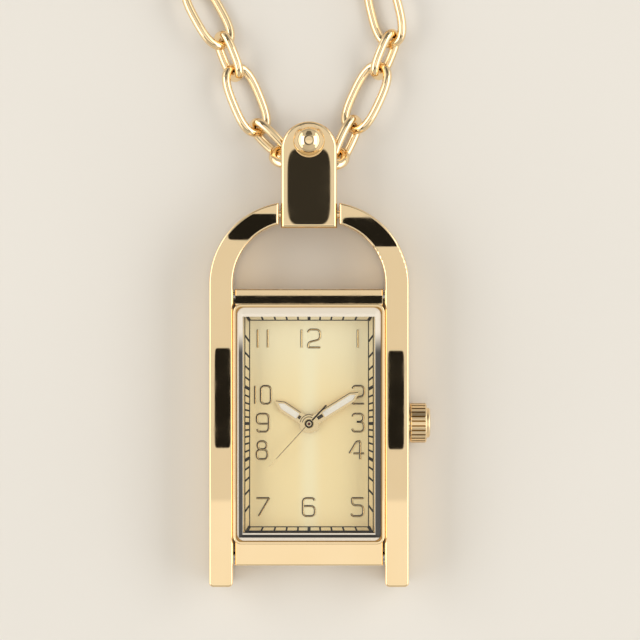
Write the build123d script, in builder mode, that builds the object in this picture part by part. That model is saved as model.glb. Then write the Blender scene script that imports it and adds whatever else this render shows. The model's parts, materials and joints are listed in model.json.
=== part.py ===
from build123d import *
from math import atan2, ceil, cos, degrees, radians, sin, sqrt
import os

# Pendant watch: a rectangular quartz watch between the two rails of an arched frame,
# hung by a hinged bail on a chain of long and short oval links. Millimetres.
# It lies on its case back. The origin is on the hands' axis, on the case back's face.
# +Z points out of the dial, +Y to twelve o'clock and the chain, +X to the crown.

# Shared clearances
running_gap = 0.04
fixed_gap = 0.02
face_gap = 0.05
cut_overrun = 1.0

# Frame: two rails that meet in an arch
frame_half_width = 10.0
rail_width = 2.4
frame_low = 0.35
frame_high = 5.6
frame_foot = 16.3
arch_top = 22.2
arch_tip_width = 2.05
arch_outer_radius = 8.25
arch_inner_radius = 6.1
arch_tip_x = 3.05
frame_edge_round = 0.22
frame_corner_round = 0.45

# Case: body with a bar at each end, screwed to a back plate
case_half_width = 7.4
case_top_bar = 13.5
case_bottom_bar = 14.2
case_high = 5.0
case_edge_round = 0.15
back_thickness = 0.7
back_inset = 0.35
back_corner_round = 0.8
back_step_height = 0.25
cavity_half_width = 6.8
cavity_half_length = 11.1
cavity_corner_round = 0.6
window_half_width = 6.6
window_half_length = 10.85
groove_width = 0.85
groove_depth = 0.6
back_gasket_width = 0.3
back_screw_x = 5.6
back_screw_bar_inset = 1.3
back_screw_radius = 0.4
back_screw_head_radius = 0.7
back_screw_head_height = 0.3
back_screw_slot = 0.2
back_screw_grip = 1.3
dowel_radius = 0.5
dowel_z = 3.4
dowel_bar_inset = 0.75
dowel_depth = 1.3

# Bezel and crystal
bezel_half_width = 7.55
bezel_half_length = 12.0
bezel_height = 0.95
bezel_corner_round = 0.8
bezel_wall = 0.24
bezel_lip_height = 0.25
bezel_edge_round = 0.1
crystal_rise = 0.15
crystal_corner_round = 0.75
crystal_bevel = 0.6
crystal_bevel_drop = 0.3
gasket_wall = 0.12

# Dial and hands
dial_thickness = 0.4
dial_high = 4.0
dial_bore_radius = 0.85
dial_foot_radius = 0.3
dial_foot_x = 5.2
dial_foot_y = 9.7
dial_foot_depth = 1.2
dial_wheel_gap = 0.05
hour_length = 4.15
hour_width = 1.05
hour_tail = 1.05
minute_length = 5.95
minute_width = 1.0
minute_tail = 1.0
hand_thickness = 0.14
hand_gap = 0.14
hand_rim = 0.2
hand_tip_share = 0.9
hour_hub_radius = 0.95
minute_hub_radius = 0.75
hour_lume_start = 1.35
minute_lume_start = 1.7
hour_angle = 146.5
minute_angle = 31.9
seconds_angle = -132.9
seconds_length = 5.9
seconds_tail = 2.55
seconds_width = 0.16
seconds_tip_width = 0.08
seconds_hub_radius = 0.42
hour_hand_z = 4.25
pipe_wall = 0.12

# Crown, tube and stem
crown_radius = 2.0
crown_start = 10.2
crown_length = 1.65
crown_cap_radius = 1.5
crown_cap_length = 0.35
crown_flutes = 26
flute_radius = 0.14
crown_recess_radius = 1.2
crown_recess_depth = 0.95
crown_pull_travel = 0.6
stem_z = 2.2
stem_radius = 0.45
stem_hold = 0.55
tube_wall = 0.35
tube_end_x = 10.95
crown_gasket_length = 0.3
inner_stem_radius = 0.3
inner_stem_start = 5.9
inner_stem_end = 3.2
stem_groove_x = 5.1
stem_groove_width = 0.5
stem_groove_radius = 0.17

# Bail: front plate with a knuckle, back strap and ball stud
bail_half_width = 2.8
bail_top = 30.3
bail_bottom = 19.6
bail_plate_low = 4.2
bail_front = 5.35
bail_bottom_round = 0.6
bail_border_round = 0.35
knuckle_top = 22.5
knuckle_low = 2.2
knuckle_round = 0.9
hinge_y = 21.0
hinge_z = 3.65
hinge_pin_radius = 0.38
hinge_pin_grip = 1.25
strap_thickness = 0.9
strap_half_width = 1.7
strap_top = 29.7
strap_tongue = 0.55
strap_tongue_inset = 0.2
stud_y = 28.3
stud_ball_radius = 1.58
stud_ball_rise = 0.75
stud_shank_radius = 0.45

# Chain links: outer size over the wire
link_wire = 0.9
long_link_length = 7.9
long_link_width = 4.2
short_link_length = 5.45
short_link_width = 3.1
link_gap = 0.1
link_roll = 33.0
link_sides = 8
stored_wire_share = 0.76
centre_link_y = 26.9
centre_link_tilt = 130.0
centre_link_skew = 4.0
centre_link_pull = 45.0
centre_link_length = 8.2

# Chain's lay: where the two strands cross the picture, left and right of the bail
left_strand = [(-5.15, 29.75), (-7.43, 35.3), (-8.7, 38.5)]
right_strand = [(4.6, 30.4), (7.2, 36.0), (8.45, 39.1)]
coil_centre_y = 79.0
coil_entry_radius = 27.4
coil_end_radius = 20.5
coil_pitch = 9.2
coil_step = 6.0
coil_left_entry = 55.0
coil_right_entry = 35.0
seen_count = 4
bend_steps = 24
lead_handle = 9.0
core_handle = 16.0

# Clasp at the chain's two ends
clasp_span = 10.6
clasp_width = 4.8
clasp_thickness = 1.8
clasp_tab = 0.6
clasp_wall = 1.0
clasp_eye_wall = 0.6
clasp_eye_length = 1.4
clasp_eye_width = 2.3
clasp_eye_round = 0.2
clasp_seat = 0.25
clasp_fork = 1.0
trigger_thickness = 0.9
trigger_width = 0.95
trigger_root_radius = 0.72
trigger_pin_radius = 0.3
trigger_lug_radius = 0.55

# Movement
holder_gap = 0.05
holder_low = 1.15
movement_half_width = 5.95
movement_half_length = 8.4
movement_corner_round = 0.7
main_plate_low = 2.75
main_plate_high = 3.2
bridge_low = 1.05
bridge_thickness = 0.25
post_radius = 0.4
post_shares = [(-0.82, -0.19), (0.6, -0.23), (0.03, 0.56)]
bridge_shares = [(-0.93, -0.26), (0.74, -0.3), (0.78, 0.5), (0.25, 0.63), (-0.93, 0.63)]
bridge_screw_radius = 0.22
bridge_screw_head = 0.38
arbor_radius = 0.13
wheel_module = 0.12
tooth_top_share = 0.45
tooth_root_share = 0.95
wheel_thickness = 0.15
pinion_teeth = 6
seconds_teeth = 36
intermediate_teeth = 30
third_teeth = 48
centre_teeth = 45
cannon_teeth = 10
minute_wheel_teeth = 30
minute_pinion_teeth = 8
hour_teeth = 32
setting_teeth = 16
third_bearing = 138.0
intermediate_bearing = 60.0
rotor_bearing = 25.0
minute_wheel_bearing = -28.0
setting_bearing = 12.0
mesh_gap = 0.03
battery_radius = 2.9
battery_height = 1.6
battery_x = -2.6
battery_y = -5.2
battery_rim = 0.25
clamp_width = 1.4
clamp_thickness = 0.1
coil_y = 7.2
coil_half_length = 3.6
coil_radius = 0.72
coil_core_half_length = 5.2
coil_core_width = 0.9
coil_z = 1.95
coil_core_thickness = 0.3
stator_thickness = 0.15
stator_strip_low = 5.6
stator_strip_high = 6.35
stator_lobe_radius = 1.3
stator_neck_width = 1.7
rotor_magnet_radius = 0.62
rotor_magnet_height = 0.45
board_thickness = 0.15
quartz_length = 3.4
quartz_width = 1.1
quartz_height = 0.75
board_shares = [(0.15, -0.95), (0.94, -0.95), (0.94, -0.29), (0.5, -0.29), (0.15, -0.39)]
quartz_x = 3.4
quartz_y = -5.2
setting_lever_pivot_y = 1.5
setting_lever_tip_y = 0.33
setting_lever_thickness = 0.25
setting_lever_width = 0.26
sliding_pinion_start = 3.85
sliding_pinion_length = 0.65
sliding_pinion_teeth = 12
sliding_pinion_module = 0.075

os.makedirs("parts", exist_ok=True)

# Heights and lines that follow from the sizes above
rail_inner = frame_half_width - rail_width
arch_underside = arch_top - arch_tip_width
cavity_ceiling = dial_high + fixed_gap
crystal_high = case_high + bezel_height + crystal_rise
crystal_half_width = bezel_half_width - bezel_wall - gasket_wall
crystal_half_length = bezel_half_length - bezel_wall - gasket_wall
tube_inner_radius = stem_radius + running_gap
tube_outer_radius = tube_inner_radius + tube_wall
crown_floor = crown_start + crown_recess_depth
strap_low = knuckle_low
wheel_top = main_plate_low - face_gap
motion_low = main_plate_high + face_gap


def keep(builder, name):
    """Label a finished piece and write it under its own name."""
    builder.part.label = name
    export_step(builder.part, "parts/" + name + ".step")


def polar(distance, bearing, start=(0, 0)):
    """The point at a distance and bearing from a start, in the plane of the dial."""
    turn = radians(bearing)
    return (start[0] + distance * cos(turn), start[1] + distance * sin(turn))


# Stirrup frame: one arm for each side, the right one bored for the crown's tube
def stirrup_arm(side, name):
    with BuildPart() as arm:
        with BuildSketch(Plane.XY.offset(frame_low)):
            with BuildLine():
                outer = FilletPolyline(
                    (0, arch_top),
                    (side * frame_half_width, arch_top),
                    (side * frame_half_width, -frame_foot),
                    radius=arch_outer_radius,
                )
                foot = Line(outer @ 1, (side * rail_inner, -frame_foot))
                inner = FilletPolyline(
                    foot @ 1,
                    (side * rail_inner, arch_underside),
                    (0, arch_underside),
                    radius=arch_inner_radius,
                )
                Line(inner @ 1, outer @ 0)
            make_face()
            with Locations((0, arch_top)):
                Rectangle(2 * arch_tip_x, 2 * arch_tip_width + 2 * cut_overrun, mode=Mode.SUBTRACT)
        extrude(amount=frame_high - frame_low)
        corners = arm.edges().filter_by(Axis.Z).group_by(Axis.Y)[0]
        fillet(corners, frame_corner_round)
        fillet(arm.faces().sort_by(Axis.Z)[-1].edges(), frame_edge_round)
        with BuildSketch(Plane.YZ.offset(side * arch_tip_x)):
            with Locations((hinge_y, hinge_z)):
                Circle(hinge_pin_radius + fixed_gap)
        extrude(amount=side * (hinge_pin_grip + face_gap), mode=Mode.SUBTRACT)
        with BuildSketch(Plane.YZ.offset(side * rail_inner)):
            with Locations(*dowel_places()):
                Circle(dowel_radius + fixed_gap)
        extrude(amount=side * (dowel_depth + face_gap), mode=Mode.SUBTRACT)
        if side > 0:
            with BuildSketch(Plane.YZ.offset(rail_inner - cut_overrun)):
                with Locations((0, stem_z)):
                    Circle(tube_outer_radius + fixed_gap)
            extrude(amount=rail_width + 2 * cut_overrun, mode=Mode.SUBTRACT)
    keep(arm, name)


def dowel_places():
    """Dowels stand in the two end bars, where the case is thick."""
    return [(case_top_bar - dowel_bar_inset, dowel_z), (dowel_bar_inset - case_bottom_bar, dowel_z)]


def screw_places():
    """Back screws stand near the four corners, in the two end bars."""
    rows = [case_top_bar - back_screw_bar_inset, back_screw_bar_inset - case_bottom_bar]
    return [(x, y) for x in (-back_screw_x, back_screw_x) for y in rows]


stirrup_arm(-1, "left_stirrup_arm")
stirrup_arm(1, "right_stirrup_arm")

# Dowels tie the end bars to the rails
with BuildPart() as rail_dowels:
    for side in (-1, 1):
        with BuildSketch(Plane.YZ.offset(side * (case_half_width - dowel_depth))):
            with Locations(*dowel_places()):
                Circle(dowel_radius)
        extrude(amount=side * (2 * dowel_depth + rail_inner - case_half_width))
keep(rail_dowels, "rail_dowels")

# Case body: the walls, the two end bars, the lip over the dial and the groove by the top bar
case_length = case_top_bar + case_bottom_bar
case_middle = (case_top_bar - case_bottom_bar) / 2
with BuildPart() as case_body:
    with BuildSketch(Plane.XY.offset(back_thickness)):
        with Locations((0, case_middle)):
            Rectangle(2 * case_half_width, case_length)
    extrude(amount=case_high - back_thickness)
    fillet(case_body.faces().sort_by(Axis.Z)[-1].edges(), case_edge_round)
    with BuildSketch(Plane.XY.offset(back_thickness)):
        RectangleRounded(2 * cavity_half_width, 2 * cavity_half_length, cavity_corner_round)
    extrude(amount=cavity_ceiling - back_thickness, mode=Mode.SUBTRACT)
    with BuildSketch(Plane.XY.offset(cavity_ceiling)):
        Rectangle(2 * window_half_width, 2 * window_half_length)
    extrude(amount=case_high - cavity_ceiling, mode=Mode.SUBTRACT)
    with BuildSketch(Plane.XY.offset(case_high)):
        with Locations((0, bezel_half_length + groove_width / 2)):
            Rectangle(2 * case_half_width + cut_overrun, groove_width)
    extrude(amount=-groove_depth, mode=Mode.SUBTRACT)
    for side in (-1, 1):
        with BuildSketch(Plane.YZ.offset(side * case_half_width)):
            with Locations(*dowel_places()):
                Circle(dowel_radius + fixed_gap)
        extrude(amount=-side * (dowel_depth + face_gap), mode=Mode.SUBTRACT)
    with BuildSketch(Plane.YZ.offset(cavity_half_width - cut_overrun)):
        with Locations((0, stem_z)):
            Circle(tube_outer_radius + fixed_gap)
    extrude(amount=2 * cut_overrun + case_half_width - cavity_half_width, mode=Mode.SUBTRACT)
    with BuildSketch(Plane.XY.offset(back_thickness)):
        with Locations(*screw_places()):
            Circle(back_screw_radius + fixed_gap)
    extrude(amount=back_screw_grip, mode=Mode.SUBTRACT)
keep(case_body, "case_body")

# Case back: the face the watch rests on, with a step that fits the cavity
back_step_inset = back_gasket_width + 2 * fixed_gap
with BuildPart() as case_back:
    with BuildSketch(Plane.XY):
        with Locations((0, case_middle)):
            RectangleRounded(
                2 * (case_half_width - back_inset), case_length - 2 * back_inset, back_corner_round
            )
    extrude(amount=back_thickness)
    fillet(case_back.faces().sort_by(Axis.Z)[0].edges(), case_edge_round)
    with BuildSketch(Plane.XY.offset(back_thickness)):
        RectangleRounded(
            2 * (cavity_half_width - back_step_inset),
            2 * (cavity_half_length - back_step_inset),
            cavity_corner_round / 2,
        )
    extrude(amount=back_step_height)
    with BuildSketch(Plane.XY):
        with Locations(*screw_places()):
            Circle(back_screw_head_radius + fixed_gap)
    extrude(amount=back_screw_head_height + fixed_gap, mode=Mode.SUBTRACT)
    with BuildSketch(Plane.XY):
        with Locations(*screw_places()):
            Circle(back_screw_radius + fixed_gap)
    extrude(amount=back_thickness, mode=Mode.SUBTRACT)
keep(case_back, "case_back")

# Back gasket: a square ring pressed between the step and the cavity wall
with BuildPart() as case_back_gasket:
    with BuildSketch(Plane.XY.offset(back_thickness)):
        RectangleRounded(
            2 * (cavity_half_width - fixed_gap), 2 * (cavity_half_length - fixed_gap), cavity_corner_round
        )
        RectangleRounded(
            2 * (cavity_half_width - fixed_gap - back_gasket_width),
            2 * (cavity_half_length - fixed_gap - back_gasket_width),
            cavity_corner_round / 2,
            mode=Mode.SUBTRACT,
        )
    extrude(amount=back_step_height)
keep(case_back_gasket, "case_back_gasket")

# Back screws: slotted heads in the plate's counterbores
with BuildPart() as back_screws:
    with BuildSketch(Plane.XY.offset(fixed_gap)):
        with Locations(*screw_places()):
            Circle(back_screw_head_radius)
    extrude(amount=back_screw_head_height - fixed_gap)
    with BuildSketch(Plane.XY.offset(back_screw_head_height)):
        with Locations(*screw_places()):
            Circle(back_screw_radius)
    extrude(amount=back_thickness - back_screw_head_height + back_screw_grip - face_gap)
    with BuildSketch(Plane.XY.offset(fixed_gap)):
        with Locations(*screw_places()):
            Rectangle(2 * back_screw_head_radius + cut_overrun, back_screw_slot)
    extrude(amount=back_screw_head_height / 2, mode=Mode.SUBTRACT)
keep(back_screws, "back_screws")

# Bezel: a thin wall round the crystal, with a lip under it
with BuildPart() as bezel:
    with BuildSketch(Plane.XY.offset(case_high)):
        RectangleRounded(2 * bezel_half_width, 2 * bezel_half_length, bezel_corner_round)
    extrude(amount=bezel_height)
    fillet(bezel.faces().sort_by(Axis.Z)[-1].edges(), bezel_edge_round)
    with BuildSketch(Plane.XY.offset(case_high + bezel_lip_height)):
        RectangleRounded(
            2 * (bezel_half_width - bezel_wall),
            2 * (bezel_half_length - bezel_wall),
            bezel_corner_round - bezel_wall,
        )
    extrude(amount=bezel_height, mode=Mode.SUBTRACT)
    with BuildSketch(Plane.XY.offset(case_high)):
        Rectangle(2 * window_half_width, 2 * window_half_length)
    extrude(amount=bezel_height, mode=Mode.SUBTRACT)
keep(bezel, "bezel")

# Crystal gasket: a thin band between the crystal's edge and the bezel
gasket_high = case_high + bezel_height - bezel_edge_round
with BuildPart() as crystal_gasket:
    with BuildSketch(Plane.XY.offset(case_high + bezel_lip_height)):
        RectangleRounded(
            2 * (bezel_half_width - bezel_wall - fixed_gap),
            2 * (bezel_half_length - bezel_wall - fixed_gap),
            bezel_corner_round - bezel_wall,
        )
        RectangleRounded(
            2 * (crystal_half_width + fixed_gap),
            2 * (crystal_half_length + fixed_gap),
            crystal_corner_round,
            mode=Mode.SUBTRACT,
        )
    extrude(amount=gasket_high - case_high - bezel_lip_height)
keep(crystal_gasket, "crystal_gasket")

# Crystal: a flat mineral glass with a broad bevel all round
with BuildPart() as crystal:
    with BuildSketch(Plane.XY.offset(case_high + bezel_lip_height)):
        RectangleRounded(2 * crystal_half_width, 2 * crystal_half_length, crystal_corner_round)
    extrude(amount=crystal_high - case_high - bezel_lip_height)
    chamfer(crystal.faces().sort_by(Axis.Z)[-1].edges(), crystal_bevel_drop, crystal_bevel)
keep(crystal, "crystal")

# Case tube: pressed in the case wall, through the rail, and into the crown
with BuildPart() as case_tube:
    with BuildSketch(Plane.YZ.offset(cavity_half_width)):
        with Locations((0, stem_z)):
            Circle(tube_outer_radius)
            Circle(tube_inner_radius, mode=Mode.SUBTRACT)
    extrude(amount=tube_end_x - cavity_half_width)
keep(case_tube, "case_tube")

# Crown: fluted, with a stepped cap, hollow inside for the tube and its gasket
with BuildPart() as crown:
    crown_base = Plane.YZ.offset(crown_start)
    with BuildSketch(crown_base):
        with Locations((0, stem_z)):
            Circle(crown_radius)
    extrude(amount=crown_length)
    fillet(crown.edges().filter_by(GeomType.CIRCLE), flute_radius)
    with BuildSketch(crown_base.offset(crown_length)):
        with Locations((0, stem_z)):
            Circle(crown_cap_radius)
    extrude(amount=crown_cap_length)
    fillet(crown.faces().sort_by(Axis.X)[-1].edges(), crown_cap_length / 2)
    with BuildSketch(crown_base.offset(-cut_overrun)):
        with Locations((0, stem_z)):
            with PolarLocations(crown_radius, crown_flutes):
                RegularPolygon(flute_radius, 3)
    extrude(amount=crown_length - flute_radius + cut_overrun, mode=Mode.SUBTRACT)
    with BuildSketch(crown_base):
        with Locations((0, stem_z)):
            Circle(crown_recess_radius)
    extrude(amount=crown_recess_depth, mode=Mode.SUBTRACT)
    with BuildSketch(crown_base.offset(crown_recess_depth)):
        with Locations((0, stem_z)):
            Circle(stem_radius + fixed_gap)
    extrude(amount=stem_hold, mode=Mode.SUBTRACT)
keep(crown, "crown")

# Crown gasket: a ring in the crown that rubs on the tube
with BuildPart() as crown_gasket:
    with BuildSketch(Plane.YZ.offset(crown_start + face_gap)):
        with Locations((0, stem_z)):
            Circle(crown_recess_radius - running_gap)
            Circle(tube_outer_radius + running_gap, mode=Mode.SUBTRACT)
    extrude(amount=crown_gasket_length)
keep(crown_gasket, "crown_gasket")

# Stem: thick through the tube, thin in the movement, with a groove for the setting lever
with BuildPart() as stem:
    with BuildSketch(Plane.YZ.offset(inner_stem_start)):
        with Locations((0, stem_z)):
            Circle(stem_radius)
    extrude(amount=crown_floor + stem_hold - face_gap - inner_stem_start)
    with BuildSketch(Plane.YZ.offset(inner_stem_end)):
        with Locations((0, stem_z)):
            Circle(inner_stem_radius)
    extrude(amount=inner_stem_start - inner_stem_end)
    with BuildSketch(Plane.YZ.offset(stem_groove_x - stem_groove_width / 2)):
        with Locations((0, stem_z)):
            Circle(stem_radius)
            Circle(stem_groove_radius, mode=Mode.SUBTRACT)
    extrude(amount=stem_groove_width, mode=Mode.SUBTRACT)
keep(stem, "stem")


# Hinge pin: held in the arch's tips, with the bail turning round it
with BuildPart() as hinge_pin:
    with BuildSketch(Plane.YZ):
        with Locations((hinge_y, hinge_z)):
            Circle(hinge_pin_radius)
    extrude(amount=arch_tip_x + hinge_pin_grip, both=True)
keep(hinge_pin, "hinge_pin")

# Bail plate: the tag-shaped front, with the knuckle behind its lower end
with BuildPart() as bail_plate:
    with BuildSketch(Plane.XY.offset(bail_plate_low)):
        with BuildLine():
            shoulder = bail_top - bail_half_width
            sides = FilletPolyline(
                (bail_half_width, shoulder),
                (bail_half_width, bail_bottom),
                (-bail_half_width, bail_bottom),
                (-bail_half_width, shoulder),
                radius=bail_bottom_round,
            )
            ThreePointArc(sides @ 1, (0, bail_top), sides @ 0)
        make_face()
    extrude(amount=bail_front - bail_plate_low)
    with BuildSketch(Plane.YZ):
        with Locations(((knuckle_top + bail_bottom) / 2, (bail_front + knuckle_low) / 2)):
            Rectangle(knuckle_top - bail_bottom, bail_front - knuckle_low)
    extrude(amount=bail_half_width, both=True)
    low_edges = bail_plate.edges().filter_by(Axis.X).group_by(Axis.Z)[0]
    fillet(low_edges.sort_by(Axis.Y)[0], knuckle_round)
    fillet(bail_plate.faces().sort_by(Axis.Z)[-1].edges(), bail_border_round)
    with BuildSketch(Plane.YZ.offset(-bail_half_width - cut_overrun)):
        with Locations((hinge_y, hinge_z)):
            Circle(hinge_pin_radius + running_gap)
    extrude(amount=2 * (bail_half_width + cut_overrun), mode=Mode.SUBTRACT)
    with BuildSketch(Plane.XZ.offset(-knuckle_top)):
        with Locations((0, strap_low + strap_thickness / 2)):
            Rectangle(2 * strap_half_width, strap_thickness - 2 * strap_tongue_inset)
    extrude(amount=strap_tongue, mode=Mode.SUBTRACT)
    with BuildSketch(Plane.XY.offset(bail_plate_low)):
        with Locations((0, stud_y)):
            Circle(stud_shank_radius + fixed_gap)
    extrude(amount=bail_front - bail_plate_low, mode=Mode.SUBTRACT)
keep(bail_plate, "bail_plate")

# Bail strap: closes the bail behind the centre link, its tongue in the knuckle
with BuildPart() as bail_strap:
    strap_start = knuckle_top + fixed_gap
    with BuildSketch(Plane.XY.offset(strap_low)):
        with Locations((0, (strap_start + strap_top) / 2)):
            Rectangle(2 * strap_half_width, strap_top - strap_start)
    extrude(amount=strap_thickness)
    fillet(bail_strap.edges().filter_by(Axis.Z).group_by(Axis.Y)[-1], strap_half_width / 2)
    with BuildSketch(Plane.XZ.offset(-strap_start)):
        with Locations((0, strap_low + strap_thickness / 2)):
            Rectangle(
                2 * (strap_half_width - fixed_gap), strap_thickness - 2 * (strap_tongue_inset + fixed_gap)
            )
    extrude(amount=strap_tongue - fixed_gap)
    with BuildSketch(Plane.XY.offset(strap_low)):
        with Locations((0, stud_y)):
            Circle(stud_shank_radius + fixed_gap)
    extrude(amount=strap_thickness, mode=Mode.SUBTRACT)
keep(bail_strap, "bail_strap")

# Ball stud: a high dome on the plate, its shank through to the strap
with BuildPart() as ball_stud:
    with Locations((0, stud_y, bail_front + stud_ball_rise)):
        Sphere(stud_ball_radius)
    split(bisect_by=Plane.XY.offset(bail_front), keep=Keep.TOP)
    with BuildSketch(Plane.XY.offset(strap_low)):
        with Locations((0, stud_y)):
            Circle(stud_shank_radius)
    extrude(amount=bail_front - strap_low)
keep(ball_stud, "ball_stud")


# Chain: one long and one short link, each drawn lying along X
def round_link(length, width):
    """A link of round wire, as it shows: two straight sides and two half rings."""
    straight = (length - width) / 2
    lane = (width - link_wire) / 2
    with BuildPart() as link:
        with BuildSketch(Plane.YZ):
            with Locations((-lane, 0), (lane, 0)):
                RegularPolygon(link_wire / 2, link_sides)
        extrude(amount=straight, both=True)
        for end in (-1, 1):
            with BuildSketch(Plane.YZ.offset(end * straight)):
                with Locations((lane, 0)):
                    RegularPolygon(link_wire / 2, link_sides)
            revolve(axis=Axis((end * straight, 0, 0), (0, 0, -end)), revolution_arc=180)
    return link.part


def plain_link(length, width):
    """A link of the put-away length, with few faces."""
    wire = link_wire * stored_wire_share
    bare_length = length - link_wire + wire
    bare_width = width - link_wire + wire
    with BuildPart() as link:
        with BuildSketch(Plane.XY):
            Polygon(*oval_points(bare_length, bare_width))
            Polygon(*oval_points(bare_length - 2 * wire, bare_width - 2 * wire), mode=Mode.SUBTRACT)
        extrude(amount=wire / 2, both=True)
    return link.part


def oval_points(length, width):
    """Corners of an oval: two long sides with short ones round each end."""
    straight = (length - width) / 2
    half_side = 180 / link_sides
    corners = []
    for corner in range(link_sides):
        bearing = (2 * corner + 1) * half_side
        end = 1 if cos(radians(bearing)) > 0 else -1
        corners.append(polar(width / 2 / cos(radians(half_side)), bearing, (end * straight, 0)))
    return corners


def reach_of(length):
    """The distance between a link's two contact points."""
    return length - 2 * link_wire - link_gap


def link_place(start, end, roll):
    """Where a link drawn along X goes, between two contact points."""
    along = (end - start).normalized()
    up = Vector(0, 0, 1)
    side = up.cross(along).normalized()
    flat_up = along.cross(side)
    turned = flat_up * cos(radians(roll)) + side * sin(radians(roll))
    return Location(Plane(origin=(start + end) / 2, x_dir=along, z_dir=turned))


# Half a long link's width, and half a short one's, rolled about the strand, stand on the floor
chain_height = sin(radians(link_roll)) * (long_link_width - link_wire) / 2 + link_wire / 2


def on_floor(points):
    return [Vector(x, y, chain_height) for x, y in points]


def bend(start, start_way, end, end_way, handle):
    """Points of a smooth bend from one place and direction to another."""
    first = start + start_way * handle
    second = end - end_way * handle
    points = []
    for step in range(1, bend_steps + 1):
        t = step / bend_steps
        points.append(
            start * (1 - t) ** 3 + first * 3 * t * (1 - t) ** 2 + second * 3 * t**2 * (1 - t) + end * t**3
        )
    return points


def coil_lane(first_turn, last_turn, lane_offset):
    """Points of one lane of the flat coil, clockwise from under its centre."""
    count = ceil((last_turn - first_turn) / coil_step)
    points = []
    for step in range(count + 1):
        turn = first_turn + (last_turn - first_turn) * step / count
        radius = coil_entry_radius + lane_offset - coil_pitch * turn / 360
        points.append(polar(radius, -90 - turn, (0, coil_centre_y)))
    return on_floor(points)


def way(points, at_end):
    """The direction of a run of points at its start or its end."""
    pair = (points[-2], points[-1]) if at_end else (points[0], points[1])
    return (pair[1] - pair[0]).normalized()


def march(route, pitches, first):
    """Contact points along a route, a link's reach apart, long and short in turn."""
    joints = [route[0]]
    index = 1
    turn = first
    while index < len(route):
        here = joints[-1]
        reach = pitches[turn]
        while index < len(route) and (route[index] - here).length < reach:
            index += 1
        if index < len(route):
            a = route[index - 1] - here
            step = route[index] - route[index - 1]
            half = a.dot(step) / step.dot(step)
            rest = (reach**2 - a.dot(a)) / step.dot(step)
            joints.append(route[index - 1] + step * (sqrt(half**2 + rest) - half))
            turn = 1 - turn
    return joints


# The centre link leans back, its front wire between the bail's plate and strap
bail_opening_z = (strap_low + strap_thickness + bail_plate_low) / 2
centre_lane = (long_link_width - link_wire) / 2
centre_link_z = bail_opening_z - sin(radians(centre_link_tilt)) * centre_lane
centre_plane = Plane(
    origin=(0, centre_link_y, centre_link_z),
    x_dir=(cos(radians(centre_link_skew)), sin(radians(centre_link_skew)), 0),
    z_dir=(0, 0, 1),
).rotated((centre_link_tilt, 0, 0))
coil_last_turn = (coil_entry_radius - coil_end_radius) * 360 / coil_pitch

right_lane = coil_lane(coil_right_entry, coil_last_turn, 0)
left_lane = coil_lane(coil_left_entry, coil_last_turn + 180, coil_pitch / 2)
core = Vector(0, coil_centre_y, chain_height)
across = (left_lane[-1] - right_lane[-1]).normalized()
core_way = Vector(across.Y, -across.X, 0)


def strand_route(side, seen, lane):
    """From the centre link, past the places seen in the picture, into the coil and to the clasp."""
    seen_points = on_floor(seen)
    pulled = radians(centre_link_pull)
    hold_x = (centre_link_length - long_link_width) / 2 + centre_lane * cos(pulled)
    hold = centre_plane.from_local_coords(Vector(side * hold_x, -centre_lane * sin(pulled), 0))
    pull = (seen_points[0] - hold).normalized()
    seen_points.insert(0, hold - pull * (link_wire + link_gap) / 2)
    lead = bend(seen_points[-1], way(seen_points, True), lane[0], way(lane, False), lead_handle)
    core_end = core - core_way * side * clasp_span / 2
    tail = bend(lane[-1], way(lane, True), core_end, core_way * side, core_handle)
    return seen_points + lead + lane[1:] + tail


reaches = [reach_of(short_link_length), reach_of(long_link_length)]
left_joints = march(strand_route(-1, left_strand, left_lane), reaches, 0)
right_joints = march(strand_route(1, right_strand, right_lane), reaches, 0)

# Long and short links in turn, each rolled the other way about the strand from its neighbours
seen_long = []
seen_short = []
stored_long = []
stored_short = []
for side, joints in ((-1, left_joints), (1, right_joints)):
    for index in range(len(joints) - 1):
        is_long = index % 2 == 1
        roll = side * (link_roll if is_long else link_roll - 90)
        place = link_place(joints[index], joints[index + 1], roll)
        if index < seen_count:
            (seen_long if is_long else seen_short).append(place)
        else:
            (stored_long if is_long else stored_short).append(place)


def link_group(name, link, places):
    with BuildPart() as group:
        with Locations(*places):
            add(link)
    keep(group, name)


link_group("chain_centre_link", round_link(centre_link_length, long_link_width), [Location(centre_plane)])
link_group("long_links", round_link(long_link_length, long_link_width), seen_long)
link_group("short_links", round_link(short_link_length, short_link_width), seen_short)
link_group("stored_long_links", plain_link(long_link_length, long_link_width), stored_long)
link_group("stored_short_links", plain_link(short_link_length, short_link_width), stored_short)


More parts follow.
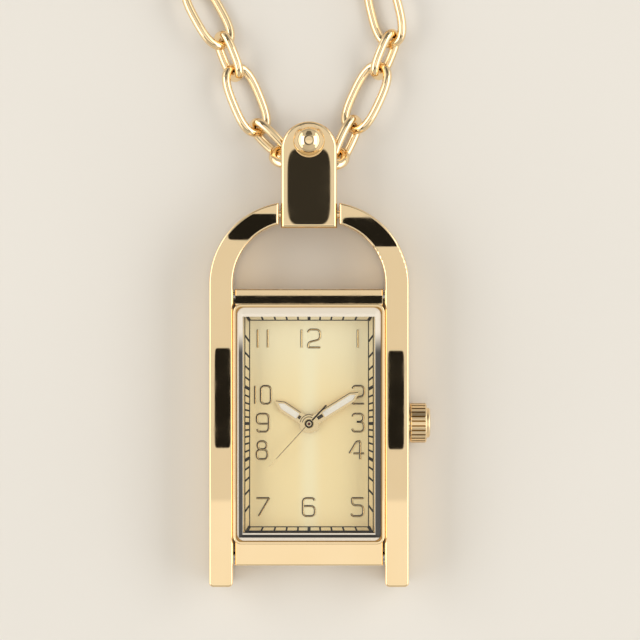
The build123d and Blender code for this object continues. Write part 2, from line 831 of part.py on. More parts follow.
# Clasp: a lobster claw from the right strand's last link to the left strand's
hook_way = (left_joints[-1] - right_joints[-1]).normalized()
hook_reach = (left_joints[-1] - right_joints[-1]).length
clasp_plane = Plane(origin=right_joints[-1], x_dir=hook_way, z_dir=(0, 0, 1))
eye_middle = clasp_eye_length / 2 - clasp_seat
claw_start = eye_middle + clasp_eye_length / 2
claw_end = hook_reach + clasp_seat + clasp_wall
claw_length = claw_end - claw_start
claw_middle = (claw_start + claw_end) / 2
gate_y = (clasp_width - trigger_width) / 2
pivot_x = claw_start + clasp_width / 2 - trigger_root_radius
gate_start = pivot_x + trigger_root_radius
gate_end = claw_end - clasp_width / 2
low_plane = clasp_plane.offset(-clasp_thickness / 2)
with BuildPart() as clasp_body:
    with BuildSketch(low_plane):
        with Locations((claw_middle, 0)):
            SlotOverall(claw_length, clasp_width)
            SlotOverall(claw_length - 2 * clasp_wall, clasp_width - 2 * clasp_wall, mode=Mode.SUBTRACT)
        with Locations((eye_middle, 0)):
            RectangleRounded(
                clasp_eye_length + 2 * clasp_eye_wall, clasp_eye_width + 2 * clasp_eye_wall, clasp_eye_wall
            )
            RectangleRounded(clasp_eye_length, clasp_eye_width, clasp_eye_round, mode=Mode.SUBTRACT)
        with Locations(((gate_start + gate_end) / 2, clasp_width / 2)):
            Rectangle(gate_end - gate_start, clasp_width - 2 * face_gap, mode=Mode.SUBTRACT)
        with Locations((pivot_x, gate_y)):
            Circle(trigger_root_radius)
            Circle(trigger_pin_radius + fixed_gap, mode=Mode.SUBTRACT)
    extrude(amount=clasp_thickness)
    with BuildSketch(clasp_plane.offset(-clasp_fork / 2)):
        with Locations((pivot_x, gate_y)):
            Rectangle(4 * trigger_root_radius, 2 * trigger_root_radius + 2 * face_gap)
    extrude(amount=clasp_fork, mode=Mode.SUBTRACT)
    tab = clasp_tab / 2
    cheek = clasp_thickness / 2
    with BuildSketch(Plane(origin=clasp_plane.origin, x_dir=hook_way, z_dir=-clasp_plane.y_dir)):
        Polygon(
            (-clasp_span, -tab),
            (claw_start, -tab),
            (claw_start + clasp_wall, -cheek),
            (gate_end, -cheek),
            (gate_end + clasp_wall, -tab),
            (2 * clasp_span, -tab),
            (2 * clasp_span, tab),
            (gate_end + clasp_wall, tab),
            (gate_end, cheek),
            (claw_start + clasp_wall, cheek),
            (claw_start, tab),
            (-clasp_span, tab),
        )
    extrude(amount=clasp_width, both=True, mode=Mode.INTERSECT)
keep(clasp_body, "clasp_body")

# Clasp trigger: a small lever that closes the hook, with a lug for the thumb
with BuildPart() as clasp_trigger:
    with BuildSketch(clasp_plane.offset(-trigger_thickness / 2)):
        with Locations(((pivot_x + gate_end - face_gap) / 2, gate_y)):
            Rectangle(gate_end - face_gap - pivot_x, trigger_width)
        with Locations((pivot_x, gate_y)):
            Circle(trigger_root_radius)
        with Locations((pivot_x - trigger_lug_radius, gate_y + trigger_root_radius)):
            Circle(trigger_lug_radius)
        with Locations((pivot_x, gate_y)):
            Circle(trigger_pin_radius + running_gap, mode=Mode.SUBTRACT)
    extrude(amount=trigger_thickness)
keep(clasp_trigger, "clasp_trigger")

# Clasp pin: the trigger's pivot, flush with the two cheeks
with BuildPart() as clasp_pin:
    with BuildSketch(low_plane):
        with Locations((pivot_x, gate_y)):
            Circle(trigger_pin_radius)
    extrude(amount=clasp_thickness)
keep(clasp_pin, "clasp_pin")


# Movement holder: a frame that fills the case round the movement and carries the dial
dial_low = dial_high - dial_thickness
foot_places = [(-dial_foot_x, dial_foot_y), (dial_foot_x, -dial_foot_y)]
holder_half_width = cavity_half_width - holder_gap
holder_half_length = cavity_half_length - holder_gap
with BuildPart() as movement_holder:
    with BuildSketch(Plane.XY.offset(holder_low)):
        RectangleRounded(2 * holder_half_width, 2 * holder_half_length, cavity_corner_round)
        RectangleRounded(
            2 * (movement_half_width + holder_gap),
            2 * (movement_half_length + holder_gap),
            movement_corner_round,
            mode=Mode.SUBTRACT,
        )
        with Locations(*foot_places):
            Circle(dial_foot_radius + fixed_gap, mode=Mode.SUBTRACT)
    extrude(amount=dial_low - holder_low)
    with BuildSketch(Plane.YZ.offset(movement_half_width)):
        with Locations((0, stem_z)):
            Circle(stem_radius + face_gap)
    extrude(amount=cavity_half_width - movement_half_width, mode=Mode.SUBTRACT)
keep(movement_holder, "movement_holder")

# Dial: a thin plate with two feet in the holder
with BuildPart() as dial:
    with BuildSketch(Plane.XY.offset(dial_low)):
        RectangleRounded(2 * holder_half_width, 2 * holder_half_length, cavity_corner_round)
        Circle(dial_bore_radius, mode=Mode.SUBTRACT)
    extrude(amount=dial_thickness)
    with BuildSketch(Plane.XY.offset(dial_low)):
        with Locations(*foot_places):
            Circle(dial_foot_radius)
    extrude(amount=-dial_foot_depth)
keep(dial, "dial")

# Stack of pipes at the centre, from the seconds arbor outwards
centre_pipe_inner = arbor_radius + running_gap
centre_pipe_outer = centre_pipe_inner + pipe_wall
cannon_inner = centre_pipe_outer + running_gap
cannon_outer = cannon_inner + pipe_wall
hour_pipe_inner = cannon_outer + running_gap
hour_pipe_outer = hour_pipe_inner + pipe_wall
minute_hand_z = hour_hand_z + hand_thickness + hand_gap
seconds_hand_z = minute_hand_z + hand_thickness + hand_gap


# Hour and minute hands: a pencil outline round an insert, on a hub
def pencil_points(length, width, tip):
    """Half a hand's width either side, out to a pointed tip."""
    half = width / 2
    return [(0, -half), (length - tip, -half), (length, 0), (length - tip, half), (0, half)]


def pencil_hand(name, length, width, tail, hub, lume_start, bore, low, angle):
    """A hand and its lume insert, at the angle shown."""
    plane = Plane(origin=(0, 0, low), x_dir=(*polar(1, angle), 0), z_dir=(0, 0, 1))
    tip = width * hand_tip_share
    inner_width = width - 2 * hand_rim
    inner_tip = tip * inner_width / width
    window = pencil_points(length - 2 * hand_rim - lume_start, inner_width, inner_tip)
    with BuildPart() as hand:
        with BuildSketch(plane):
            Polygon(*pencil_points(length, width, tip))
            Circle(hub)
            with Locations((-tail / 2, 0)):
                Rectangle(tail, width / 2)
            with Locations((lume_start, 0)):
                Polygon(*window, mode=Mode.SUBTRACT)
            Circle(bore + fixed_gap, mode=Mode.SUBTRACT)
        extrude(amount=hand_thickness)
    keep(hand, name + "_hand")
    with BuildPart() as lume:
        with BuildSketch(plane):
            with Locations((lume_start, 0)):
                Polygon(*window)
            offset(amount=-fixed_gap)
        extrude(amount=hand_thickness - fixed_gap)
    keep(lume, name + "_lume")


pencil_hand(
    "hour", hour_length, hour_width, hour_tail, hour_hub_radius, hour_lume_start, hour_pipe_outer,
    hour_hand_z, hour_angle,
)
pencil_hand(
    "minute", minute_length, minute_width, minute_tail, minute_hub_radius, minute_lume_start, cannon_outer,
    minute_hand_z, minute_angle,
)

# Seconds hand: a needle with a short tail and a raised hub
seconds_plane = Plane(origin=(0, 0, seconds_hand_z), x_dir=(*polar(1, seconds_angle), 0), z_dir=(0, 0, 1))
with BuildPart() as seconds_hand:
    with BuildSketch(seconds_plane):
        Polygon(
            (-seconds_tail, -seconds_width / 2),
            (0, -seconds_width / 2),
            (seconds_length, -seconds_tip_width / 2),
            (seconds_length, seconds_tip_width / 2),
            (0, seconds_width / 2),
            (-seconds_tail, seconds_width / 2),
        )
        Circle(seconds_hub_radius)
    extrude(amount=hand_thickness)
    with BuildSketch(seconds_plane.offset(hand_thickness)):
        Circle(seconds_hub_radius / 2)
    extrude(amount=hand_thickness / 2)
    with BuildSketch(seconds_plane):
        Circle(arbor_radius + fixed_gap)
    extrude(amount=hand_thickness, mode=Mode.SUBTRACT)
keep(seconds_hand, "seconds_hand")


# Wheels: pointed teeth, shallow enough to run with play
def tooth_points(teeth, module, first_bearing):
    """Tips and roots in turn, the first tip at a bearing."""
    pitch_radius = teeth * module / 2
    tip = pitch_radius + tooth_top_share * module
    root = pitch_radius - tooth_root_share * module
    points = []
    for step in range(2 * teeth):
        points.append(polar(root if step % 2 else tip, first_bearing + 180 * step / teeth))
    return points


def meshed(bearing, teeth, other_teeth, other_first):
    """The bearing of a wheel's first tip that puts it in mesh with a wheel seen at a bearing."""
    other_phase = (bearing + 180 - other_first) * other_teeth / 360
    return bearing - (0.5 - other_phase) * 360 / teeth


def mesh_distance(teeth, other_teeth, module=wheel_module):
    return module * (teeth + other_teeth) / 2 + mesh_gap


centre = (0, 0)
third_place = polar(mesh_distance(pinion_teeth, third_teeth), third_bearing)
intermediate_place = polar(mesh_distance(pinion_teeth, seconds_teeth), intermediate_bearing)
rotor_place = polar(mesh_distance(pinion_teeth, intermediate_teeth), rotor_bearing, intermediate_place)
minute_wheel_place = polar(mesh_distance(cannon_teeth, minute_wheel_teeth), minute_wheel_bearing)
setting_place = polar(
    mesh_distance(minute_wheel_teeth, setting_teeth), setting_bearing, minute_wheel_place
)
centre_module = (mesh_distance(pinion_teeth, third_teeth) - mesh_gap) * 2 / (pinion_teeth + centre_teeth)

# Wheels under the main plate, from the plate down
level_gap = face_gap + fixed_gap
centre_low = wheel_top - wheel_thickness
third_low = centre_low - level_gap - wheel_thickness
seconds_low = third_low - 2 * level_gap - wheel_thickness
intermediate_low = seconds_low - 2 * level_gap - wheel_thickness
rotor_pinion_low = intermediate_low - fixed_gap
arbor_low = bridge_low + face_gap
arbor_high = main_plate_low + bridge_thickness


def wheel_piece(name, place, wheels, low, high, radius):
    """Toothed discs on one arbor: each a list of teeth, module, first tip, low and high."""
    with BuildPart() as piece:
        for teeth, module, first, bottom, top in wheels:
            with BuildSketch(Plane.XY.offset(bottom)):
                with Locations(place):
                    Polygon(*tooth_points(teeth, module, first))
            extrude(amount=top - bottom)
        with BuildSketch(Plane.XY.offset(low)):
            with Locations(place):
                Circle(radius)
        extrude(amount=high - low)
    keep(piece, name)


wheel_piece(
    "seconds_wheel",
    centre,
    [
        (seconds_teeth, wheel_module, 0, seconds_low, seconds_low + wheel_thickness),
        (
            pinion_teeth,
            wheel_module,
            meshed(third_bearing, pinion_teeth, third_teeth, 0),
            seconds_low + wheel_thickness,
            third_low + wheel_thickness + fixed_gap,
        ),
    ],
    arbor_low,
    seconds_hand_z + hand_thickness - fixed_gap,
    arbor_radius,
)
wheel_piece(
    "third_wheel",
    third_place,
    [
        (third_teeth, wheel_module, 0, third_low, third_low + wheel_thickness),
        (
            pinion_teeth,
            centre_module,
            meshed(third_bearing + 180, pinion_teeth, centre_teeth, 0),
            third_low + wheel_thickness,
            wheel_top,
        ),
    ],
    arbor_low,
    arbor_high,
    arbor_radius,
)
wheel_piece(
    "intermediate_wheel",
    intermediate_place,
    [
        (intermediate_teeth, wheel_module, 0, intermediate_low, intermediate_low + wheel_thickness),
        (
            pinion_teeth,
            wheel_module,
            meshed(intermediate_bearing + 180, pinion_teeth, seconds_teeth, 0),
            intermediate_low + wheel_thickness,
            seconds_low + wheel_thickness + fixed_gap,
        ),
    ],
    arbor_low,
    arbor_high,
    arbor_radius,
)

# Rotor: a pinion under a small round magnet
rotor_magnet_low = coil_z
with BuildPart() as rotor:
    with BuildSketch(Plane.XY.offset(rotor_pinion_low)):
        with Locations(rotor_place):
            Polygon(
                *tooth_points(
                    pinion_teeth,
                    wheel_module,
                    meshed(rotor_bearing + 180, pinion_teeth, intermediate_teeth, 0),
                )
            )
    extrude(amount=wheel_thickness + 2 * fixed_gap)
    with BuildSketch(Plane.XY.offset(rotor_magnet_low)):
        with Locations(rotor_place):
            Circle(rotor_magnet_radius)
    extrude(amount=rotor_magnet_height)
    with BuildSketch(Plane.XY.offset(arbor_low)):
        with Locations(rotor_place):
            Circle(arbor_radius)
    extrude(amount=arbor_high - arbor_low)
keep(rotor, "rotor")

# Centre wheel: under the main plate, its pipe up through the plate for the cannon pinion
with BuildPart() as centre_wheel:
    with BuildSketch(Plane.XY.offset(centre_low)):
        Polygon(*tooth_points(centre_teeth, centre_module, 0))
    extrude(amount=wheel_thickness)
    with BuildSketch(Plane.XY.offset(centre_low)):
        Circle(centre_pipe_outer)
    extrude(amount=dial_high - centre_low)
    with BuildSketch(Plane.XY.offset(centre_low)):
        Circle(centre_pipe_inner)
    extrude(amount=dial_high - centre_low, mode=Mode.SUBTRACT)
keep(centre_wheel, "centre_wheel")

# Motion work between the main plate and the dial
motion_high = motion_low + wheel_thickness
hour_wheel_low = motion_high + dial_wheel_gap
hour_wheel_high = dial_low - dial_wheel_gap
with BuildPart() as cannon_pinion:
    with BuildSketch(Plane.XY.offset(motion_low)):
        Polygon(
            *tooth_points(
                cannon_teeth,
                wheel_module,
                meshed(minute_wheel_bearing, cannon_teeth, minute_wheel_teeth, 0),
            )
        )
    extrude(amount=wheel_thickness)
    with BuildSketch(Plane.XY.offset(motion_low)):
        Circle(cannon_outer)
    extrude(amount=minute_hand_z + hand_thickness - motion_low)
    with BuildSketch(Plane.XY.offset(motion_low)):
        Circle(cannon_inner)
    extrude(amount=minute_hand_z + hand_thickness - motion_low, mode=Mode.SUBTRACT)
keep(cannon_pinion, "cannon_pinion")

with BuildPart() as hour_wheel:
    with BuildSketch(Plane.XY.offset(hour_wheel_low)):
        Polygon(*tooth_points(hour_teeth, wheel_module, 0))
    extrude(amount=hour_wheel_high - hour_wheel_low)
    with BuildSketch(Plane.XY.offset(hour_wheel_low)):
        Circle(hour_pipe_outer)
    extrude(amount=hour_hand_z + hand_thickness - hour_wheel_low)
    with BuildSketch(Plane.XY.offset(hour_wheel_low)):
        Circle(hour_pipe_inner)
    extrude(amount=hour_hand_z + hand_thickness - hour_wheel_low, mode=Mode.SUBTRACT)
keep(hour_wheel, "hour_wheel")

motion_arbor_low = main_plate_low + face_gap
wheel_piece(
    "minute_wheel",
    minute_wheel_place,
    [
        (minute_wheel_teeth, wheel_module, 0, motion_low, motion_high),
        (
            minute_pinion_teeth,
            wheel_module,
            meshed(minute_wheel_bearing + 180, minute_pinion_teeth, hour_teeth, 0),
            motion_high,
            hour_wheel_high,
        ),
    ],
    motion_arbor_low,
    hour_wheel_high,
    arbor_radius,
)
wheel_piece(
    "setting_wheel",
    setting_place,
    [
        (
            setting_teeth,
            wheel_module,
            meshed(setting_bearing + 180, setting_teeth, minute_wheel_teeth, 0),
            motion_low,
            motion_high,
        )
    ],
    motion_arbor_low,
    motion_high,
    arbor_radius,
)

# Main plate: carries the train on one side and the motion work on the other
post_places = [(x * movement_half_width, y * movement_half_length) for x, y in post_shares]
lever_place = (stem_groove_x + crown_pull_travel / 2, setting_lever_pivot_y)
with BuildPart() as main_plate:
    with BuildSketch(Plane.XY.offset(main_plate_low)):
        RectangleRounded(2 * movement_half_width, 2 * movement_half_length, movement_corner_round)
    extrude(amount=main_plate_high - main_plate_low)
    with BuildSketch(Plane.XY.offset(bridge_low + bridge_thickness)):
        with Locations(*post_places):
            Circle(post_radius)
    extrude(amount=main_plate_low - bridge_low - bridge_thickness)
    with BuildSketch(Plane.XY.offset(bridge_low + bridge_thickness)):
        with Locations(*post_places):
            Circle(bridge_screw_radius + fixed_gap)
    extrude(amount=post_radius + face_gap, mode=Mode.SUBTRACT)
    with BuildSketch(Plane.XY.offset(main_plate_low)):
        with Locations(third_place, intermediate_place, rotor_place, minute_wheel_place, setting_place):
            Circle(arbor_radius + running_gap)
        with Locations(lever_place):
            Circle(arbor_radius + running_gap)
        Circle(centre_pipe_outer + running_gap)
    extrude(amount=main_plate_high - main_plate_low, mode=Mode.SUBTRACT)
keep(main_plate, "main_plate")

# Train bridge: the lower plate that holds the wheels' other ends
with BuildPart() as train_bridge:
    with BuildSketch(Plane.XY.offset(bridge_low)):
        Polygon(*[(x * movement_half_width, y * movement_half_length) for x, y in bridge_shares])
        with Locations(third_place, intermediate_place, rotor_place, centre):
            Circle(arbor_radius + running_gap, mode=Mode.SUBTRACT)
        with Locations(*post_places):
            Circle(bridge_screw_radius + fixed_gap, mode=Mode.SUBTRACT)
    extrude(amount=bridge_thickness)
    with BuildSketch(Plane.XY.offset(bridge_low)):
        with Locations(*post_places):
            Circle(bridge_screw_head + fixed_gap)
    extrude(amount=bridge_thickness / 2, mode=Mode.SUBTRACT)
keep(train_bridge, "train_bridge")

with BuildPart() as bridge_screws:
    with BuildSketch(Plane.XY.offset(bridge_low)):
        with Locations(*post_places):
            Circle(bridge_screw_head)
    extrude(amount=bridge_thickness / 2)
    with BuildSketch(Plane.XY.offset(bridge_low)):
        with Locations(*post_places):
            Circle(bridge_screw_radius)
    extrude(amount=bridge_thickness + post_radius)
keep(bridge_screws, "bridge_screws")

# Battery: a button cell, and the spring strip that bears on it
battery_low = wheel_top - battery_height
with BuildPart() as battery:
    with BuildSketch(Plane.XY.offset(battery_low)):
        with Locations((battery_x, battery_y)):
            Circle(battery_radius)
    extrude(amount=battery_height)
    chamfer(battery.edges().group_by(Axis.Z)[0], battery_rim)
keep(battery, "battery")

with BuildPart() as battery_clamp:
    with BuildSketch(Plane.XY.offset(battery_low - clamp_thickness - fixed_gap)):
        with Locations((battery_x, battery_y)):
            Rectangle(2 * battery_radius, clamp_width)
            Circle(clamp_width)
    extrude(amount=clamp_thickness)
keep(battery_clamp, "battery_clamp")

# Coil: a winding on a flat core, and the stator that joins the core to the rotor
core_high = coil_z + coil_core_thickness / 2
with BuildPart() as coil:
    with BuildSketch(Plane.YZ):
        with Locations((coil_y, coil_z)):
            Circle(coil_radius)
    extrude(amount=coil_half_length, both=True)
    with BuildSketch(Plane.XY.offset(coil_z)):
        with Locations((0, coil_y)):
            Rectangle(2 * coil_core_half_length, coil_core_width)
    extrude(amount=coil_core_thickness / 2, both=True)
keep(coil, "coil")

with BuildPart() as stator:
    with BuildSketch(Plane.XY.offset(core_high)):
        with Locations((0, (stator_strip_low + stator_strip_high) / 2)):
            Rectangle(2 * coil_core_half_length, stator_strip_high - stator_strip_low)
        for end in (-1, 1):
            with Locations((end * (coil_core_half_length + coil_half_length + face_gap) / 2, coil_y)):
                Rectangle(
                    coil_core_half_length - coil_half_length - face_gap,
                    2 * (coil_y - stator_strip_low) - coil_core_width,
                )
        with Locations((rotor_place[0], (rotor_place[1] + stator_strip_high) / 2)):
            Rectangle(stator_neck_width, stator_strip_high - rotor_place[1])
        with Locations(rotor_place):
            Circle(stator_lobe_radius)
            Circle(rotor_magnet_radius + 2 * running_gap, mode=Mode.SUBTRACT)
    extrude(amount=stator_thickness)
keep(stator, "stator")

# Circuit board under the main plate, with the quartz in its can
board_low = wheel_top - board_thickness
with BuildPart() as circuit_board:
    with BuildSketch(Plane.XY.offset(board_low)):
        Polygon(*[(x * movement_half_width, y * movement_half_length) for x, y in board_shares])
    extrude(amount=board_thickness)
keep(circuit_board, "circuit_board")

with BuildPart() as quartz_can:
    with BuildSketch(Plane.XY.offset(board_low - quartz_height - fixed_gap)):
        with Locations((quartz_x, quartz_y)):
            RectangleRounded(quartz_width, quartz_length, quartz_width / 3)
    extrude(amount=quartz_height)
keep(quartz_can, "quartz_can")

# Setting lever: pivots on the main plate, its tip in the stem's groove
lever_low = stem_z - setting_lever_thickness / 2
with BuildPart() as setting_lever:
    with BuildSketch(Plane.XY.offset(lever_low)):
        lever_arm = Vector(*lever_place) - Vector(stem_groove_x, setting_lever_tip_y)
        with Locations(Vector(*lever_place) - lever_arm / 2):
            lever_turn = degrees(atan2(lever_arm.Y, lever_arm.X))
            SlotCenterToCenter(lever_arm.length, setting_lever_width, rotation=lever_turn)
        with Locations(lever_place):
            Circle(setting_lever_width)
    extrude(amount=setting_lever_thickness)
    with BuildSketch(Plane.XY.offset(lever_low)):
        with Locations(lever_place):
            Circle(arbor_radius)
    extrude(amount=arbor_high - lever_low)
keep(setting_lever, "setting_lever")

# Sliding pinion on the stem
with BuildPart() as sliding_pinion:
    with BuildSketch(Plane.YZ.offset(sliding_pinion_start)):
        with Locations((0, stem_z)):
            Polygon(*tooth_points(sliding_pinion_teeth, sliding_pinion_module, 0))
            Circle(inner_stem_radius + fixed_gap, mode=Mode.SUBTRACT)
    extrude(amount=sliding_pinion_length)
keep(sliding_pinion, "sliding_pinion")
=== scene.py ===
# %% [markdown]
# # A pendant watch on its chain
# The CAD model gives every solid its place and size. This file gives them their looks: the camera and the light
# first, then the finishes, then the pieces that only a picture needs, such as round chain wire, the minute track
# and the numerals. Lengths are in metres, so most numbers here are written in millimetres times mm.

# %% Load the CAD frame
import json
import math
import bmesh
import bpy
import numpy as np
from mathutils import Matrix, Vector


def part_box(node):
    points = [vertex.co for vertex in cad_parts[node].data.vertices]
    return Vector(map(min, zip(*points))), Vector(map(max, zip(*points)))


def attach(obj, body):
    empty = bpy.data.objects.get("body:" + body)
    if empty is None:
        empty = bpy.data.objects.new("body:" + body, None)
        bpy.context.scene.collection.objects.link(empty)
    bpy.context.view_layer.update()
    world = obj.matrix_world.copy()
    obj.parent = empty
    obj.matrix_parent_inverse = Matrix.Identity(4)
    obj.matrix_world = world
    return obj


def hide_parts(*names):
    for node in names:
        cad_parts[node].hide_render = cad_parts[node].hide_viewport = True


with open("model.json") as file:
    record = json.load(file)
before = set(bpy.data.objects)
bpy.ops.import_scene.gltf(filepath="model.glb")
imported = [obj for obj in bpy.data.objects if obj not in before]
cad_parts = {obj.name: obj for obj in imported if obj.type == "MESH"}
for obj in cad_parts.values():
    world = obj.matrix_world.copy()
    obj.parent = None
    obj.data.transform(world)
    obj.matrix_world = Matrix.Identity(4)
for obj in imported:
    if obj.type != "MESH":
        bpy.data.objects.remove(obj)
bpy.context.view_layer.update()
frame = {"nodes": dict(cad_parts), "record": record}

mm = 0.001
scene = bpy.context.scene
nodes = frame["nodes"]
slot_of = {row["node"]: row["material_slot"] for row in frame["record"]["subparts"]}
print("CAD nodes:", len(nodes))

# %% [markdown]
# ## The camera
# The photograph looks straight down on the watch as it lies on its back. A long lens keeps the rails parallel.
# One picture of 640 pixels spans 64 mm at the height of the bezel, and its middle is 1.1 mm right of the dial's
# centre and 10.4 mm above it.

# %% Camera over the bezel
view_centre = (1.1 * mm, 10.4 * mm)
view_width = 64 * mm
bezel_height = 5.3 * mm
camera_data = bpy.data.cameras.new("camera")
camera_data.lens = 150
camera_data.sensor_width = 36
camera_data.clip_start = 10 * mm
eye_height = bezel_height + view_width * camera_data.lens / camera_data.sensor_width
camera = bpy.data.objects.new("camera", camera_data)
camera.location = (*view_centre, eye_height)
scene.collection.objects.link(camera)
scene.camera = camera
print("camera height in mm:", round(eye_height / mm, 1))

# %% [markdown]
# ## Helpers for shaders
# Colours are written as the eye sees them, in sRGB hex, and shaders want them linear, so one function turns them.
# Another adds any node, with its settings and its links, and hands back the output that the next node needs. Most
# limits in a finish are soft, so the setting for a smooth change between two values gets a name too.

# %% Colours and nodes
def linear(code):
    """The linear colour of an sRGB hex code."""
    shares = [int(code[i:i + 2], 16) / 255 for i in (1, 3, 5)]
    return (*[s / 12.92 if s <= 0.04045 else ((s + 0.055) / 1.055) ** 2.4 for s in shares], 1)


def add_node(tree, kind, *inputs, out=0, **settings):
    """Adds a node and returns one of its outputs, or all of them where out is None. An input is a value, or an output
    to link from. Inputs stand in the order of the node's sockets, or in a dict under a socket's name or number."""
    made = tree.nodes.new(kind)
    for name, value in settings.items():
        setattr(made, name, value)
    wanted = {}
    for place, value in enumerate(inputs):
        wanted.update(value if isinstance(value, dict) else {place: value})
    for key, value in wanted.items():
        if isinstance(value, bpy.types.NodeSocket):
            tree.links.new(value, made.inputs[key])
        else:
            made.inputs[key].default_value = value
    return made.outputs if out is None else made.outputs[out]


smooth = {"interpolation_type": "SMOOTHSTEP"}
print("mid grey, linear:", round(linear("#808080")[0], 3))

# %% [markdown]
# ## The light
# Polished gold shows what stands round it, so a jeweller's photograph is lit by what the metal mirrors: a pale
# ceiling, dark gaps and long bright boxes. These could be real cards hung over the watch. The world shader draws
# them by direction instead, which casts no stray shadows. The flat faces look almost straight up, so a few small
# cards near the zenith give them the dark mirror patches of the photograph. Two long lamps, left and right, put
# white lines along the rounded edges and lay soft shadows on the table.

# %% Directions in the room
world = bpy.data.worlds.new("studio")
scene.world = world
world.use_nodes = True
sky = world.node_tree
sky.nodes.clear()
toward = add_node(sky, "ShaderNodeSeparateXYZ", add_node(sky, "ShaderNodeTexCoord", out="Generated"), out=None)
above = add_node(sky, "ShaderNodeMath", toward["Z"], 0.001, operation="MAXIMUM")
slope_x = add_node(sky, "ShaderNodeMath", toward["X"], above, operation="DIVIDE")
slope_y = add_node(sky, "ShaderNodeMath", toward["Y"], above, operation="DIVIDE")
print("nodes that find the direction:", len(sky.nodes))

# %% The ceiling and its dark cards
def card(left, right, low, high, squareness, depth):
    """1 everywhere but on a dark card. Its sides are slopes from the zenith. More squareness fills its corners out,
    and depth is how bright it stays."""
    past_side = 0.0
    for slope, start, end in ((slope_x, left, right), (slope_y, low, high)):
        off_middle = add_node(sky, "ShaderNodeMath", slope, (start + end) / 2, operation="SUBTRACT")
        share = add_node(sky, "ShaderNodeMath", off_middle, (end - start) / 2, operation="DIVIDE")
        distance = add_node(sky, "ShaderNodeMath", share, operation="ABSOLUTE")
        steep = add_node(sky, "ShaderNodeMath", distance, squareness, operation="POWER")
        past_side = add_node(sky, "ShaderNodeMath", past_side, steep, operation="ADD")
    return add_node(sky, "ShaderNodeMapRange", past_side, 0.85, 1.15, depth, 1, **smooth)


# Each card is named for the face that mirrors it.
dark_cards = {
    "tag": (-0.0122, 0.0039, 0.0355, 0.0645, 5.0, 0.045),
    "left rail": (-0.0395, -0.0335, -0.0480, -0.0105, 12.0, 0.02),
    "right rail": (0.0255, 0.0315, -0.0485, -0.0115, 12.0, 0.02),
    "left arch": (-0.0345, -0.0150, 0.0300, 0.0398, 12.0, 0.02),
    "right arch": (0.0085, 0.0305, 0.0275, 0.0385, 12.0, 0.02),
    "groove by the top bar": (-0.0322, 0.0234, 0.0061, 0.0092, 30.0, 0.02)}
# The ceiling is a little brighter over the foot of the watch, with a quick change across the rails.
ceiling = add_node(sky, "ShaderNodeMapRange", slope_y, -0.0690, -0.0665, 1.12, 0.90, **smooth)
for sides in dark_cards.values():
    ceiling = add_node(sky, "ShaderNodeMath", ceiling, card(*sides), operation="MULTIPLY")
print("dark cards:", len(dark_cards))

# %% The walls and the side boxes
ceiling_share = add_node(sky, "ShaderNodeMapRange", toward["Z"], 0.86, 0.90, 0, 1, **smooth)
dark_gap = add_node(sky, "ShaderNodeMapRange", toward["X"], -0.25, 0.35, 0.12, 0.40, **smooth)
below_gap = add_node(sky, "ShaderNodeMapRange", toward["Z"], 0.74, 0.82, 0.78, 0, **smooth)
wall = add_node(sky, "ShaderNodeMapRange", toward["Z"], 0.0, 0.35, 0.55, 0.80, **smooth)
walls = add_node(sky, "ShaderNodeMix", below_gap, {2: dark_gap, 3: wall}, data_type="FLOAT")
# A dark card stands behind the watch, and only round pieces, such as the ball stud, mirror it.
walls = add_node(sky, "ShaderNodeMath", walls, card(-0.6, 0.6, 0.8, 3.0, 8.0, 0.25), operation="MULTIPLY")
# A low bright box stands on each side. Its edges: what is measured, from, to, brightness before and after.
sideways = add_node(sky, "ShaderNodeMath", toward["X"], operation="ABSOLUTE")
side_boxes = 1.3
for measured, low, high, before, after in (
        (sideways, 0.62, 0.68, 0, 1), (toward["Z"], 0.10, 0.14, 0, 1), (toward["Z"], 0.42, 0.46, 1, 0)):
    edge = add_node(sky, "ShaderNodeMapRange", measured, low, high, before, after, **smooth)
    side_boxes = add_node(sky, "ShaderNodeMath", side_boxes, edge, operation="MULTIPLY")
walls = add_node(sky, "ShaderNodeMath", walls, side_boxes, operation="ADD")
print("sky nodes:", len(sky.nodes))

# %% The world's strength and the background
mirrored = add_node(sky, "ShaderNodeMix", ceiling_share, {2: walls, 3: ceiling}, data_type="FLOAT")
seen_directly = add_node(sky, "ShaderNodeLightPath", out="Is Camera Ray")
level = add_node(sky, "ShaderNodeMix", seen_directly, {2: mirrored, 3: 1.0}, data_type="FLOAT")
add_node(sky, "ShaderNodeOutputWorld", add_node(sky, "ShaderNodeBackground", linear("#f4f1ec"), level), out=None)
print("background:", "#f4f1ec")

# %% Two long lamps
lamp_out, lamp_along, lamp_up = 350 * mm, 20 * mm, 300 * mm
lamp_width, lamp_length = 200 * mm, 500 * mm
lamp_radiance = 2.3
lamp_target = Vector((0, 10 * mm, 0))
for name, side in (("lamp_left", -1), ("lamp_right", 1)):
    lamp = bpy.data.lights.new(name, "AREA")
    lamp.shape = "RECTANGLE"
    lamp.size = lamp_width
    lamp.size_y = lamp_length
    lamp.energy = lamp_radiance * math.pi * lamp_width * lamp_length
    lamp.color = linear("#fffaf2")[:3]
    stand = bpy.data.objects.new(name, lamp)
    stand.location = (side * lamp_out, lamp_along, lamp_up)
    # The lamp's long side is its own Y, so X is the one that leans up, and Y stays level along the watch.
    stand.rotation_euler = (lamp_target - stand.location).to_track_quat("-Z", "X").to_euler()
    stand.visible_camera = False
    scene.collection.objects.link(stand)
print("watts in each lamp:", round(lamp.energy, 3))

# %% [markdown]
# ## The table
# The watch lies on its case back. A plain pale board, a hair below the lowest link, catches the shadow. One large
# face is enough, and it ends where the lamps stop lighting it, so that no grey far end shows from a low side.

